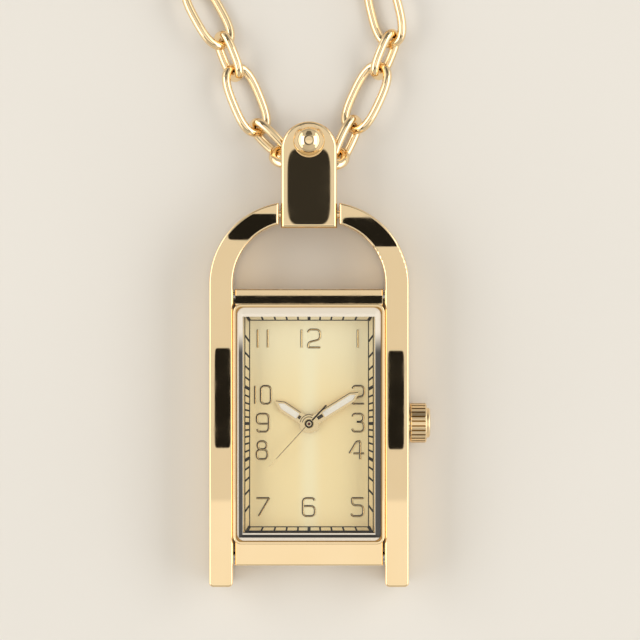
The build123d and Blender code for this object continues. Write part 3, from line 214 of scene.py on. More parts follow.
# %% Pale board
table_reach = 600 * mm
table_height = -0.06 * mm
board_mesh = bpy.data.meshes.new("table_board")
board_mesh.from_pydata([(x * table_reach, y * table_reach, table_height)
                        for x, y in ((-1, -1), (1, -1), (1, 1), (-1, 1))], [], [(0, 1, 2, 3)])
table_board = bpy.data.objects.new("table_board", board_mesh)
scene.collection.objects.link(table_board)
print("board width in mm:", round(2 * table_reach / mm))

# %% [markdown]
# ## The finishes
# Each material starts from the real one. No real surface is one even colour, so most of them drift a little: a
# noise of a real size in millimetres moves the colour, the roughness or the height. Metals keep the default IOR,
# because their colour is their reflection.

# %% A start for every finish
def new_finish(name, colour, roughness, metallic=0.0, drifts=None, extra=None):
    """Starts a material: (material, tree, shader, object coordinates). A drift has the size of its noise, and may be
    stretched along an axis. Its ends are two colours or two roughnesses, and for the height it has a depth."""
    material = bpy.data.materials.new(name)
    material.use_nodes = True
    tree = material.node_tree
    tree.nodes.clear()
    place = add_node(tree, "ShaderNodeTexCoord", out="Object")
    sockets = {"Base Color": linear(colour), "Roughness": roughness, "Metallic": metallic, **(extra or {})}
    for socket, drift in (drifts or {}).items():
        scale = tuple(1 / (drift["size"] * longer) for longer in drift.get("stretch", (1, 1, 1)))
        moved = add_node(tree, "ShaderNodeMapping", {"Vector": place, "Scale": scale})
        noise = add_node(tree, "ShaderNodeTexNoise", {
            "Vector": moved, "Scale": 1.0, "Detail": drift.get("detail", 2.0)}, out="Fac")
        if socket == "Base Color":
            first, last = map(linear, drift["ends"])
            sockets[socket] = add_node(tree, "ShaderNodeMix", noise, {6: first, 7: last}, data_type="RGBA", out=2)
        elif socket == "Roughness":
            limits = drift.get("limits", (0.3, 0.7))
            sockets[socket] = add_node(tree, "ShaderNodeMapRange", noise, *limits, *drift["ends"], **smooth)
        else:
            sockets[socket] = add_node(tree, "ShaderNodeBump", {
                "Height": noise, "Distance": drift["depth"], "Strength": 1.0})
    shader = add_node(tree, "ShaderNodeBsdfPrincipled", sockets).node
    add_node(tree, "ShaderNodeOutputMaterial", shader.outputs[0], out=None)
    print("finish:", name)
    return material, tree, shader, place


# %% [markdown]
# ## Gold plate
# The watch and its chain are brass or steel with a thin plating of gold, buffed on a soft wheel. A metal with a
# very low roughness does it. The warm colour is a little paler than pure gold, as plating often is.

# %% Polished gold plate
# A mirror with a warm colour, very faint waves, and a little haze that dulls it here and there.
polished_gold, *_ = new_finish("polished_gold_plate", "#fbe0b2", 0.01, 1.0, {
    "Base Color": {"size": 5 * mm, "ends": ("#f8dcac", "#fce3b8")},
    "Roughness": {"size": 2.5 * mm, "limits": (0.40, 0.80), "ends": (0.006, 0.016)},
    "Normal": {"size": 6 * mm, "detail": 0.0, "depth": 0.0001 * mm}})

# %% [markdown]
# ## Gold of the seconds hand
# This is the same plate on a thinner pressing. Its hub shows a dark ring round the brown end of the arbor, and its
# tail mirrors the dark of the room; both are painted reflections. They could be separate pieces, but the hub is less
# than a millimetre across, so one material paints them into its colour by the distance from the arbor and along the
# hand.

# %% Gold with painted reflections on the hub and tail
# The hand's angle is in degrees from 3 o'clock, and its tail points the other way.
seconds_angle = -132.9
tail_angle = math.radians(seconds_angle + 180)
ring_span = 0.5 * mm
hub_gold_painted_reflections, tree, shader, place = new_finish("gold_plate_with_dark_hub", "#fbe0b2", 0.08, 1.0)
flat_place = add_node(tree, "ShaderNodeVectorMath", place, (1, 1, 0), operation="MULTIPLY")
from_arbor = add_node(tree, "ShaderNodeVectorMath", flat_place, operation="LENGTH", out="Value")
ring_share = add_node(tree, "ShaderNodeMath", from_arbor, 1 / ring_span, operation="MULTIPLY")
# Painted reflections: a pale and a dark ring round the brown end of the arbor.
painted_hub_rings = add_node(tree, "ShaderNodeValToRGB", ring_share)
ramp = painted_hub_rings.node.color_ramp
ramp.interpolation = "CONSTANT"
ramp.elements[0].color = linear("#6a3226")
ramp.elements[1].position = 0.30
ramp.elements[1].color = linear("#e8d4ae")
ramp.elements.new(0.50).color = linear("#20160e")
toward_tail = add_node(tree, "ShaderNodeVectorMath", place, (math.cos(tail_angle), math.sin(tail_angle), 0),
                       operation="DOT_PRODUCT", out="Value")
# The tail's dark is a painted reflection of the room.
painted_tail_reflection = add_node(tree, "ShaderNodeMapRange", toward_tail, 0.42 * mm, 0.50 * mm, 0, 1, **smooth)
plate = add_node(tree, "ShaderNodeMix", painted_tail_reflection, {6: linear("#fbe0b2"), 7: linear("#2c2014")}, data_type="RGBA", out=2)
past_hub = add_node(tree, "ShaderNodeMapRange", from_arbor, 0.40 * mm, 0.43 * mm, 0, 1, **smooth)
whole = add_node(tree, "ShaderNodeMix", past_hub, {6: painted_hub_rings, 7: plate}, data_type="RGBA", out=2)
tree.links.new(whole, shader.inputs["Base Color"])
print("rings on the hub:", len(ramp.elements))

# %% [markdown]
# ## Gold of the crown
# The crown is plated over cut flutes. Painted shade keeps them darker than the ridges between them. The pointiness of
# the mesh could find them, but the distance from the crown's own axis does it exactly. The painted shade keeps clear
# of the crown's two ends.

# %% Gold with painted shade in the flutes
# Each row: what is measured, from, to, and the shade before and after.
crown_axis_height = 2.2 * mm
dark_below, bright_from = 1.95 * mm, 1.985 * mm
crown_gold_painted_shade, tree, shader, place = new_finish("gold_plate_dark_in_flutes", "#fbe0b2", 0.28, 1.0)
axes = add_node(tree, "ShaderNodeSeparateXYZ", place, out=None)
off_axis = add_node(tree, "ShaderNodeVectorMath", place, (0, 1, 1), (0, 0, -crown_axis_height),
                    operation="MULTIPLY_ADD")
from_axis = add_node(tree, "ShaderNodeVectorMath", off_axis, operation="LENGTH", out="Value")
# Painted shade in the flutes, clear of the crown's ends.
painted_flute_shade = 1.0
for measured, low, high, before, after in (
        (from_axis, dark_below, bright_from, 1, 0), (axes["X"], 10.30 * mm, 10.36 * mm, 0, 1),
        (axes["X"], 11.69 * mm, 11.75 * mm, 1, 0)):
    share = add_node(tree, "ShaderNodeMapRange", measured, low, high, before, after, **smooth)
    painted_flute_shade = add_node(tree, "ShaderNodeMath", painted_flute_shade, share, operation="MULTIPLY")
shaded = add_node(tree, "ShaderNodeMix", painted_flute_shade, {6: linear("#fbe0b2"), 7: linear("#9c7238")},
                  data_type="RGBA", out=2)
tree.links.new(shaded, shader.inputs["Base Color"])

# %% [markdown]
# ## Metals of the movement
# Steel parts are turned or stamped and left satin. Brass plates are grained one way, which spreads the light across
# the grain. The grain could be cut into the mesh, but these parts are small and hidden, so a noise stretched along
# one axis moves the roughness and the height.

# %% Turned and brushed metals
steel_grain = {"size": 0.06 * mm, "stretch": (12, 1, 1)}
turned_steel, *_ = new_finish("satin_steel", "#c4c4c4", 0.28, 1.0, {
    "Roughness": {**steel_grain, "ends": (0.20, 0.36)}, "Normal": {**steel_grain, "depth": 0.0008 * mm}})
brass_grain = {"size": 0.07 * mm, "stretch": (1, 14, 1)}
grained_brass, *_ = new_finish("grained_brass", "#d9b96a", 0.30, 1.0, {
    "Base Color": {"size": 1.6 * mm, "ends": ("#d2b060", "#e2c47a")},
    "Roughness": {**brass_grain, "ends": (0.22, 0.38)}, "Normal": {**brass_grain, "depth": 0.001 * mm}})

# %% [markdown]
# ## The crystal
# It is a flat pane of mineral glass with a ground bevel. Real glass with its own thickness would do, but light has
# to find its way through two faces and back, and the dial under it turns dark and grainy. So the flat part is a
# clear film with a faint mirror on its outer side, and only the bevel is a solid surface.

# %% Mineral glass and where its bevel starts
# The pane is clear but for a faint mirror. The bevel is ground, so it scatters pale light.
mineral_glass, tree, shader, place = new_finish("mineral_glass", "#e6dccb", 0.5, drifts={
    "Roughness": {"size": 0.08 * mm, "ends": (0.35, 0.5)}})
axes = add_node(tree, "ShaderNodeSeparateXYZ", place, out=None)
# The bevel starts a little further in at the top than at the foot, so it is wider there.
bevel_y = add_node(tree, "ShaderNodeMapRange", axes["Y"], -1 * mm, 1 * mm, 10.86 * mm, 10.73 * mm, **smooth)
past = {}
for axis, start in (("X", 6.59 * mm), ("Y", bevel_y)):
    distance = add_node(tree, "ShaderNodeMath", axes[axis], operation="ABSOLUTE")
    past[axis] = add_node(tree, "ShaderNodeMath", distance, start, operation="SUBTRACT")
on_bevel = add_node(tree, "ShaderNodeMath", past["X"], past["Y"], operation="MAXIMUM")

# %% The painted dark line in the bevel
# It is painted shade that shows through the bevel at the sides and the foot, and is narrower at the left. Each row
# of limits: what is measured, from and to in mm, and how far the line shows before and after.
line_end = add_node(tree, "ShaderNodeMapRange", axes["X"], -1 * mm, 1 * mm, 0.44 * mm, 0.62 * mm, **smooth)
line_left = add_node(tree, "ShaderNodeMath", line_end, past["X"], operation="SUBTRACT")
ends_in_corner = (past["Y"], 0.40, 0.52, 1, 0)
ends_outside = (line_left, -0.05, 0.08, 0, 1)
painted_shade_lines = {
    "sides": [(past["X"], -0.02, 0.08, 0, 1), ends_outside, ends_in_corner, (axes["Y"], 7.0, 9.4, 1, 0)],
    "foot": [(past["Y"], 0.10, 0.18, 0, 1), ends_in_corner, ends_outside, (axes["Y"], 0, 1, 1, 0)]}
painted_shade_seen = 0.0
for limits in painted_shade_lines.values():
    line = 1.0
    for measured, low, high, before, after in limits:
        share = add_node(tree, "ShaderNodeMapRange", measured, low * mm, high * mm, before, after, **smooth)
        line = add_node(tree, "ShaderNodeMath", line, share, operation="MULTIPLY")
    painted_shade_seen = add_node(tree, "ShaderNodeMath", painted_shade_seen, line, operation="MAXIMUM")
# The dark line is painted shade on the bevel.
bevel_colour = add_node(tree, "ShaderNodeMix", painted_shade_seen, {6: linear("#e9e0d0"), 7: linear("#211f1b")},
                        data_type="RGBA", out=2)
tree.links.new(bevel_colour, shader.inputs["Base Color"])
print("lines of the seat:", len(painted_shade_lines))

# %% The clear pane
wave_size = 4 * mm
wave_place = add_node(tree, "ShaderNodeMapping", {"Vector": place, "Scale": (1 / wave_size,) * 3})
waves = add_node(tree, "ShaderNodeTexNoise", {"Vector": wave_place, "Scale": 1.0, "Detail": 2.0}, out="Fac")
haze = add_node(tree, "ShaderNodeMapRange", waves, 0.5, 0.8, 0.0, 0.02, **smooth)
clear = add_node(tree, "ShaderNodeBsdfTransparent", linear("#fdfefd"))
mirror = add_node(tree, "ShaderNodeBsdfGlossy", {"Roughness": haze})
inner_side = add_node(tree, "ShaderNodeNewGeometry", out="Backfacing")
outer_side = add_node(tree, "ShaderNodeMath", 1.0, inner_side, operation="SUBTRACT")
fresnel = add_node(tree, "ShaderNodeFresnel", {"IOR": 1.5})
mirror_share = add_node(tree, "ShaderNodeMath", fresnel, outer_side, operation="MULTIPLY")
pane = add_node(tree, "ShaderNodeMixShader", mirror_share, clear, mirror)
bevel_share = add_node(tree, "ShaderNodeMapRange", on_bevel, -0.02 * mm, 0.02 * mm, 0, 1, **smooth)
glass = add_node(tree, "ShaderNodeMixShader", bevel_share, pane, shader.outputs[0])
tree.links.new(glass, next(n for n in tree.nodes if n.type == "OUTPUT_MATERIAL").inputs[0])
print("nodes in the glass:", len(tree.nodes))

# %% [markdown]
# ## The dial
# A sunray dial is brushed outwards from its centre, plated and lacquered, so light fans out from the middle. Fine
# scratches in the mesh would be far too many. A noise that runs round the centre draws the rays, and a tangent that
# runs round it too turns the highlight into a fan. A painted highlight in the colour makes the fan stronger.

# %% Sunray dial lacquer
# The lacquer gives the champagne colour. Painted light makes it paler towards 12, and a painted highlight brightens a
# narrow fan above and below the hub.
rays_per_radian = 40.0
ray_length = 25 / 3 * mm
sunray, tree, shader, place = new_finish("sunray_champagne_lacquer", "#ffe8b6", 0.36, 0.08, extra={
    "Anisotropic": 0.6, "Coat Weight": 0.1, "Coat Roughness": 0.1})
axes = add_node(tree, "ShaderNodeSeparateXYZ", place, out=None)
angle = add_node(tree, "ShaderNodeMath", axes["Y"], axes["X"], operation="ARCTAN2")
along = add_node(tree, "ShaderNodeVectorMath", place, operation="LENGTH", out="Value")
rays_round = add_node(tree, "ShaderNodeMath", angle, rays_per_radian, operation="MULTIPLY")
rays_along = add_node(tree, "ShaderNodeMath", along, 1 / ray_length, operation="MULTIPLY")
ray_place = add_node(tree, "ShaderNodeCombineXYZ", rays_round, rays_along)
rays = add_node(tree, "ShaderNodeTexNoise", {"Vector": ray_place, "Scale": 1.0, "Detail": 3.0}, out="Fac")
# A painted highlight: a narrow fan above and below the hub.
beside = add_node(tree, "ShaderNodeMath", axes["X"], operation="ABSOLUTE")
near_middle = add_node(tree, "ShaderNodeMapRange", beside, 0.1 * mm, 1.5 * mm, 0.75, 0, **smooth)
off_hub = add_node(tree, "ShaderNodeMapRange", along, 0.8 * mm, 3 * mm, 0, 1, **smooth)
painted_highlight_fan = add_node(tree, "ShaderNodeMath", near_middle, off_hub, operation="MULTIPLY")
rays_and_painted_fan = add_node(tree, "ShaderNodeMath", rays, 0.35, painted_highlight_fan, operation="MULTIPLY_ADD")
lacquer = add_node(tree, "ShaderNodeMix", rays_and_painted_fan, {6: linear("#ffe6b0"), 7: linear("#fff0c8")},
                   data_type="RGBA", out=2)
# Painted light: the lacquer is lifted paler towards 12.
painted_light_toward_twelve = add_node(tree, "ShaderNodeMapRange", axes["Y"], 1 * mm, 10 * mm, 0, 0.65, **smooth)
painted_paler_top = add_node(tree, "ShaderNodeMix", painted_light_toward_twelve, {6: lacquer, 7: linear("#fff6d8")},
                     data_type="RGBA", out=2)
ray_roughness = add_node(tree, "ShaderNodeMapRange", rays, 0.3, 0.7, 0.28, 0.40, **smooth)
tangent = add_node(tree, "ShaderNodeTangent", direction_type="RADIAL", axis="Z")
for value, socket in ((painted_paler_top, "Base Color"), (ray_roughness, "Roughness"), (tangent, "Tangent")):
    tree.links.new(value, shader.inputs[socket])
print("nodes in the dial:", len(tree.nodes))

# %% [markdown]
# ## Paint, rubber and plastics
# These are the quiet parts: lume in the hands, gaskets, and what the movement is moulded from. A colour, a typical
# roughness and a slow drift are enough for each of them.

# %% Lume, rubber and plastics
# Lume is a thick grainy paint. Gaskets are matt nitrile, but the crystal's is clear nylon, which looks amber
# against the gold. The holder and the rotor are moulded, and the holder shows the fine texture of its mould.
lume_paint, *_ = new_finish("luminous_paint", "#f4ece2", 0.75, drifts={
    "Base Color": {"size": 0.05 * mm, "ends": ("#efe4d8", "#faf4ec")},
    "Normal": {"size": 0.05 * mm, "depth": 0.006 * mm}})
nitrile, *_ = new_finish("nitrile_rubber", "#1c1c1c", 0.7, drifts={
    "Base Color": {"size": 0.2 * mm, "ends": ("#161616", "#262626")}})
amber_nylon, *_ = new_finish("clear_nylon_on_gold", "#b08844", 0.4, drifts={
    "Base Color": {"size": 0.5 * mm, "ends": ("#a87c38", "#b88e4c")}})
moulded_plastic, *_ = new_finish("moulded_abs", "#dcdcd6", 0.45, drifts={
    "Base Color": {"size": 0.8 * mm, "ends": ("#d6d6d0", "#e2e2dc")},
    "Normal": {"size": 0.06 * mm, "depth": 0.002 * mm}})
magnet_plastic, *_ = new_finish("moulded_magnet_plastic", "#333338", 0.35, drifts={
    "Base Color": {"size": 0.3 * mm, "ends": ("#2c2c30", "#3c3c42")}})

# %% [markdown]
# ## Winding and circuit board
# The coil is wound of enamelled copper wire about 0.02 mm thick. It could be a helix of thousands of turns. A wave
# texture draws the turns eight times as coarse, so that they can be seen. A green film covers the circuit board's
# copper, and the tracks under it show as paler lines, which a brick pattern gives without any modelling.

# %% Copper winding
# A wave texture repeats after 2 pi / 20 of its unit.
turn_width = 0.16 * mm
copper_winding, tree, shader, place = new_finish("enamelled_copper_wire", "#b4693c", 0.35, 1.0)
turns = add_node(tree, "ShaderNodeTexWave", {
    "Vector": place, "Scale": 2 * math.pi / 20 / turn_width, "Distortion": 0.6, "Detail": 1.0},
    bands_direction="X", out="Fac")
wire_colour = add_node(tree, "ShaderNodeMix", turns, {6: linear("#8c4a26"), 7: linear("#cc7a48")},
                       data_type="RGBA", out=2)
wire_height = add_node(tree, "ShaderNodeBump", {"Height": turns, "Distance": 0.01 * mm, "Strength": 1.0})
tree.links.new(wire_colour, shader.inputs["Base Color"])
tree.links.new(wire_height, shader.inputs["Normal"])

# %% Solder mask
# A brick is half a unit wide and a quarter high, so the lines enclose fields of 0.5 by 0.25 mm.
brick_unit = 1 * mm
solder_mask, tree, shader, place = new_finish("green_solder_mask", "#1c5a30", 0.3)
tracks = add_node(tree, "ShaderNodeTexBrick", {
    "Vector": place, "Scale": 1 / brick_unit, "Color1": linear("#1a5630"), "Color2": linear("#246a3a"),
    "Mortar": linear("#3c8450"), "Mortar Size": 0.04}, offset=0.5, out="Color")
tree.links.new(tracks, shader.inputs["Base Color"])

# %% [markdown]
# ## Table paint
# The board has matt paint, so that it hardly mirrors anything and only takes the shadow. One even colour would do
# for a board out of focus, but a real coat drifts a little over some centimetres.

# %% Pale table paint
table_paint, *_ = new_finish("matt_table_paint", "#e6e3dd", 0.8, drifts={
    "Base Color": {"size": 40 * mm, "ends": ("#e4e1db", "#e9e6e0")}})
board_mesh.materials.append(table_paint)

# %% [markdown]
# ## Finishes on the CAD solids
# Each CAD node has a material slot that says what it is made of. A finish could be chosen for every node by name.
# One table from slot to finish is shorter, and only three nodes need a finish of their own.

# %% Put the finishes on
finish_of_slot = {
    "polished_gold": polished_gold, "steel": turned_steel, "movement_brass": grained_brass,
    "crystal_glass": mineral_glass, "dial_lacquer": sunray, "lume": lume_paint, "gasket_rubber": nitrile,
    "holder_plastic": moulded_plastic, "rotor_plastic": magnet_plastic, "coil_copper": copper_winding,
    "board_green": solder_mask}
own_finish = {"seconds_hand": hub_gold_painted_reflections, "crystal_gasket": amber_nylon, "crown": crown_gold_painted_shade}
for name, solid in nodes.items():
    for holder in solid.material_slots:
        holder.material = own_finish.get(name, finish_of_slot[slot_of[name]])
print("finishes:", len(finish_of_slot) + len(own_finish))

# %% [markdown]
# ## Growing pieces with Geometry Nodes
# A chain, a track and numerals repeat a simple rule, so a node tree makes each of them from a guide mesh. The
# result is read back as a plain mesh, which is what the exporter needs.

# %% Run a tree over a guide mesh
def new_tree(name, sizes):
    """An empty geometry tree with named size inputs: (tree, its input sockets)."""
    tree = bpy.data.node_groups.new(name, "GeometryNodeTree")
    tree.interface.new_socket("Guide", in_out="INPUT", socket_type="NodeSocketGeometry")
    for label, kind in sizes.items():
        tree.interface.new_socket(label, in_out="INPUT", socket_type=kind)
    tree.interface.new_socket("Piece", in_out="OUTPUT", socket_type="NodeSocketGeometry")
    return tree, add_node(tree, "NodeGroupInput", out=None)


def finish_tree(tree, shape, finish):
    """Ends a tree: copies become real, get smooth faces and their material."""
    real = add_node(tree, "GeometryNodeRealizeInstances", shape)
    rounded = add_node(tree, "GeometryNodeSetShadeSmooth", {"Geometry": real})
    dressed = add_node(tree, "GeometryNodeSetMaterial", {"Geometry": rounded, "Material": finish})
    add_node(tree, "NodeGroupOutput", dressed, out=None)
    print("tree:", tree.name, "nodes:", len(tree.nodes))


def grow(name, guide, tree, sizes):
    """The plain mesh piece that a tree makes from a guide mesh."""
    seed = bpy.data.objects.new(name + "_guide", guide)
    scene.collection.objects.link(seed)
    modifier = seed.modifiers.new(tree.name, "NODES")
    modifier.node_group = tree
    for item in tree.interface.items_tree:
        if item.in_out == "INPUT" and item.name in sizes:
            modifier[item.identifier] = sizes[item.name]
    graph = bpy.context.evaluated_depsgraph_get()
    made = bpy.data.meshes.new_from_object(seed.evaluated_get(graph), depsgraph=graph)
    made.name = name
    bpy.data.objects.remove(seed)
    piece = bpy.data.objects.new(name, made)
    scene.collection.objects.link(piece)
    print(name, "faces:", len(made.polygons))
    return piece


# %% [markdown]
# ## The chain
# Each link is a length of round wire bent to an oval and soldered shut. The CAD links have eight flat sides to
# stay light. Here every link is drawn again in round wire, exactly where its CAD solid lies: the solid's own
# longest, middle and shortest directions tell how the link is turned.

# %% Find the CAD links
def solids_of(name):
    """The corners of each solid in a CAD node, one array for each solid."""
    shell = bmesh.new()
    shell.from_mesh(nodes[name].data)
    bmesh.ops.remove_doubles(shell, verts=shell.verts, dist=1e-7)
    shell.verts.ensure_lookup_table()
    seen, found = set(), []
    for start in shell.verts:
        if start.index in seen:
            continue
        seen.add(start.index)
        group, edge_of_group = [], [start]
        while edge_of_group:
            corner = edge_of_group.pop()
            group.append(corner.co[:])
            for edge in corner.link_edges:
                other = edge.other_vert(corner)
                if other.index not in seen:
                    seen.add(other.index)
                    edge_of_group.append(other)
        found.append(np.array(group))
    shell.free()
    return found


def lie_of(corners):
    """(centre, turn, sizes) of one link: x along it, y across it, z through it."""
    _, axes = np.linalg.eigh(np.cov((corners - corners.mean(0)).T))
    axes = axes[:, ::-1]
    axes[:, 2] = np.cross(axes[:, 0], axes[:, 1])
    spread = corners @ axes
    middle = (spread.max(0) + spread.min(0)) / 2
    return axes @ middle, Matrix(axes.tolist()).to_euler(), np.ptp(spread, axis=0)


# %% A tree that draws links
link_tree, given = new_tree("oval_links", {
    "Length": "NodeSocketFloat", "Width": "NodeSocketFloat", "Wire": "NodeSocketFloat", "Fill": "NodeSocketFloat",
    "Bend Steps": "NodeSocketInt", "Wire Sides": "NodeSocketInt", "Finish": "NodeSocketMaterial"})
half_wire = add_node(link_tree, "ShaderNodeMath", given["Wire"], 0.5, operation="MULTIPLY")
ring = add_node(link_tree, "GeometryNodeCurvePrimitiveCircle", {"Resolution": given["Bend Steps"], "Radius": 1.0})
ring_axes = add_node(link_tree, "ShaderNodeSeparateXYZ", add_node(link_tree, "GeometryNodeInputPosition"), out=None)
# A round ring is filled out towards a box and stretched to the middle of the link's wire.
oval_axes = []
for axis, size in (("X", "Length"), ("Y", "Width")):
    amount = add_node(link_tree, "ShaderNodeMath", ring_axes[axis], operation="ABSOLUTE")
    filled = add_node(link_tree, "ShaderNodeMath", amount, given["Fill"], operation="POWER")
    side = add_node(link_tree, "ShaderNodeMath", ring_axes[axis], operation="SIGN")
    middle_size = add_node(link_tree, "ShaderNodeMath", given[size], given["Wire"], operation="SUBTRACT")
    signed = add_node(link_tree, "ShaderNodeMath", filled, side, operation="MULTIPLY")
    both_halves = add_node(link_tree, "ShaderNodeMath", signed, middle_size, operation="MULTIPLY")
    oval_axes.append(add_node(link_tree, "ShaderNodeMath", both_halves, 0.5, operation="MULTIPLY"))
oval_place = add_node(link_tree, "ShaderNodeCombineXYZ", *oval_axes)
oval = add_node(link_tree, "GeometryNodeSetPosition", {"Geometry": ring, "Position": oval_place})
level_oval = add_node(link_tree, "GeometryNodeSetCurveNormal", oval, mode="Z_UP")
section = add_node(link_tree, "GeometryNodeCurvePrimitiveCircle", {
    "Resolution": given["Wire Sides"], "Radius": half_wire})
wire = add_node(link_tree, "GeometryNodeCurveToMesh", {"Curve": level_oval, 1: section})
turn = add_node(link_tree, "GeometryNodeInputNamedAttribute", {"Name": "turn"}, data_type="FLOAT_VECTOR")
copies = add_node(link_tree, "GeometryNodeInstanceOnPoints", {
    "Points": given["Guide"], "Instance": wire, "Rotation": add_node(link_tree, "FunctionNodeEulerToRotation", turn)})
finish_tree(link_tree, copies, given["Finish"])

# %% Draw every link in round wire
# An ellipse has a fullness of 2. These links are bent a little fuller.
oval_fullness = 2.75


def round_links(name, bend_steps, wire_sides):
    """Replaces a CAD node of links by links of round wire, and returns the piece."""
    lies = [lie_of(corners) for corners in solids_of(name)]
    guide = bpy.data.meshes.new(name + "_places")
    guide.from_pydata([centre for centre, _, _ in lies], [], [])
    turns = guide.attributes.new("turn", "FLOAT_VECTOR", "POINT")
    turns.data.foreach_set("vector", [v for _, euler, _ in lies for v in euler])
    length, width, wire_size = np.mean([sizes for _, _, sizes in lies], axis=0)
    piece = grow("round_" + name, guide, link_tree, {
        "Length": float(length), "Width": float(width), "Wire": float(wire_size), "Fill": 2 / oval_fullness,
        "Bend Steps": bend_steps, "Wire Sides": wire_sides, "Finish": polished_gold})
    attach(piece, "chain")
    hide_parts(name)
    print(name, "links:", len(lies), "wire in mm:", round(float(wire_size) / mm, 2))
    return piece


for name in ("chain_centre_link", "long_links", "short_links"):
    round_links(name, 72, 24)
# The rest of the chain lies in a coil beyond the top of the picture, so its links get fewer faces.
for name in ("stored_long_links", "stored_short_links"):
    round_links(name, 32, 12)

# %% [markdown]
# ## The minute track and the numerals
# Both are lines of an even width, so one tree draws them: it rounds the corners of a guide of straight edges and
# runs a flat section along it. The track is printed ink. The numerals are thin gold strokes on a dark edge of painted
# shade.

# %% A tree that draws strokes
stroke_tree, given = new_tree("flat_strokes", {
    "Stroke": "NodeSocketFloat", "Thickness": "NodeSocketFloat", "Corner": "NodeSocketFloat",
    "Finish": "NodeSocketMaterial"})
lines = add_node(stroke_tree, "GeometryNodeMeshToCurve", given["Guide"])
soft_lines = add_node(stroke_tree, "GeometryNodeFilletCurve", {
    "Curve": lines, "Radius": given["Corner"], "Count": 6, "Limit Radius": True}, mode="POLY")
upright = add_node(stroke_tree, "GeometryNodeSetCurveNormal", soft_lines, mode="Z_UP")
flat_section = add_node(stroke_tree, "GeometryNodeCurvePrimitiveQuadrilateral", {
    "Width": given["Stroke"], "Height": given["Thickness"]})
swept = add_node(stroke_tree, "GeometryNodeCurveToMesh", {"Curve": upright, 1: flat_section, "Fill Caps": True})
finish_tree(stroke_tree, swept, given["Finish"])

# %% Lay strokes on the dial
dial_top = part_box("dial")[1].z


def strokes(name, paths, lift, sizes, finish, body="watch"):
    """A piece of strokes along paths of (x, y) in mm, lift above the dial. A path that ends at its start is closed."""
    corners, edges = [], []
    for path in paths:
        closed = path[0] == path[-1]
        points = path[:-1] if closed else path
        first = len(corners)
        corners += [(x * mm, y * mm, dial_top + lift) for x, y in points]
        edges += [(first + i, first + i + 1) for i in range(len(points) - 1)]
        if closed:
            edges.append((first + len(points) - 1, first))
    guide = bpy.data.meshes.new(name + "_paths")
    guide.from_pydata(corners, edges, [])
    piece = grow(name, guide, stroke_tree, {**sizes, "Finish": finish})
    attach(piece, body)
    return piece


print("dial top in mm:", round(dial_top / mm, 2))

# %% [markdown]
# ## Ink, foil and painted shade
# The track is pad-printed in a matt dark ink. The numerals' edges are painted shade, a brown close to that ink, and
# their strokes are gold foil, which mirrors less sharply than the plated case. A picture of the dial could carry all
# of it, but strokes stay sharp from any distance.

# %% Track ink and numeral finishes
track_ink, *_ = new_finish("pad_printed_ink", "#2a281e", 0.5, drifts={
    "Base Color": {"size": 0.1 * mm, "ends": ("#12110c", "#1e1c16")}})
numeral_shade_finish, *_ = new_finish("brown_edge_ink", "#4a3626", 0.45, drifts={
    "Base Color": {"size": 0.1 * mm, "ends": ("#2c1e14", "#40301f")}})
numeral_gold, *_ = new_finish("foil_gold", "#e6c894", 0.25, 1.0, {
    "Base Color": {"size": 0.2 * mm, "ends": ("#dcbc86", "#f0d6a6")}})

# %% The minute track
# Two boxes with a mark between them for each minute, broader at the hours. The half sizes are in mm, and so are the
# height over the dial and the width of the strokes that end each row below.
inner_box, outer_box = (5.97, 10.38), (6.45, 10.80)
outer_frame_top = 10.72


def on_box(minute, half_x, half_y):
    """Where the ray of a minute meets a box round the centre."""
    x, y = math.sin(math.radians(6 * minute)), math.cos(math.radians(6 * minute))
    reach = min(half_x / abs(x) if abs(x) > 1e-9 else 1e9, half_y / abs(y) if abs(y) > 1e-9 else 1e9)
    return (x * reach, y * reach)


x, y = inner_box
inner_frame = [(-x, -y), (x, -y), (x, y), (-x, y), (-x, -y)]
x, y = outer_box
outer_frame = [(-x, outer_frame_top), (-x, -y), (x, -y), (x, outer_frame_top)]
marks = {minute: [on_box(minute, *inner_box), on_box(minute, *outer_box)] for minute in range(60)}
for name, paths, lift, stroke in (
        ("track_frames", [inner_frame, outer_frame], 0.008, 0.10),
        ("minute_marks", [marks[m] for m in marks if m % 5], 0.010, 0.17),
        ("hour_marks", [marks[m] for m in marks if m % 5 == 0], 0.012, 0.30)):
    strokes(name, paths, lift * mm, {"Stroke": stroke * mm, "Thickness": 0.012 * mm, "Corner": 0.05 * mm}, track_ink)

# %% The shapes of the digits
# Each digit is drawn in a box of 1 by 1, as the corners that its strokes turn at.
digit_paths = {
    "0": [[(0, 0), (0, 1), (1, 1), (1, 0), (0, 0)]],
    "1": [[(0.5, 0), (0.5, 1)]],
    "2": [[(0.02, 0.84), (0.02, 1), (1, 1), (1, 0.45), (0.02, 0.28), (0.02, 0)], [(0.02, 0), (1, 0)]],
    "3": [[(0.02, 0.84), (0.02, 1), (0.96, 1), (0.96, 0.55), (0.4, 0.55)],
          [(0.4, 0.55), (1, 0.55), (1, 0), (0, 0), (0, 0.16)]],
    "4": [[(0, 0.32), (0.5, 1), (0.74, 1)], [(0.74, 1), (0.74, 0)], [(0.28, 0.32), (1, 0.32)]],
    "5": [[(1, 1), (0.04, 1)], [(0.04, 1), (0.04, 0.6), (1, 0.6), (1, 0), (0, 0), (0, 0.14)]],
    "6": [[(0.96, 0.86), (0.96, 1), (0, 1), (0, 0), (1, 0), (1, 0.56), (0.1, 0.56)]],
    "7": [[(0, 1), (1, 1)], [(1, 1), (0.18, 0)]],
    "8": [[(0.08, 0.55), (0.08, 1), (0.92, 1), (0.92, 0.55), (0.08, 0.55)],
          [(0, 0), (0, 0.53), (1, 0.53), (1, 0), (0, 0)]],
    "9": [[(0.04, 0.14), (0.04, 0), (1, 0), (1, 1), (0, 1), (0, 0.44), (0.9, 0.44)]]}
print("digits:", len(digit_paths))

# %% The places of the numerals
digit_high = 1.80
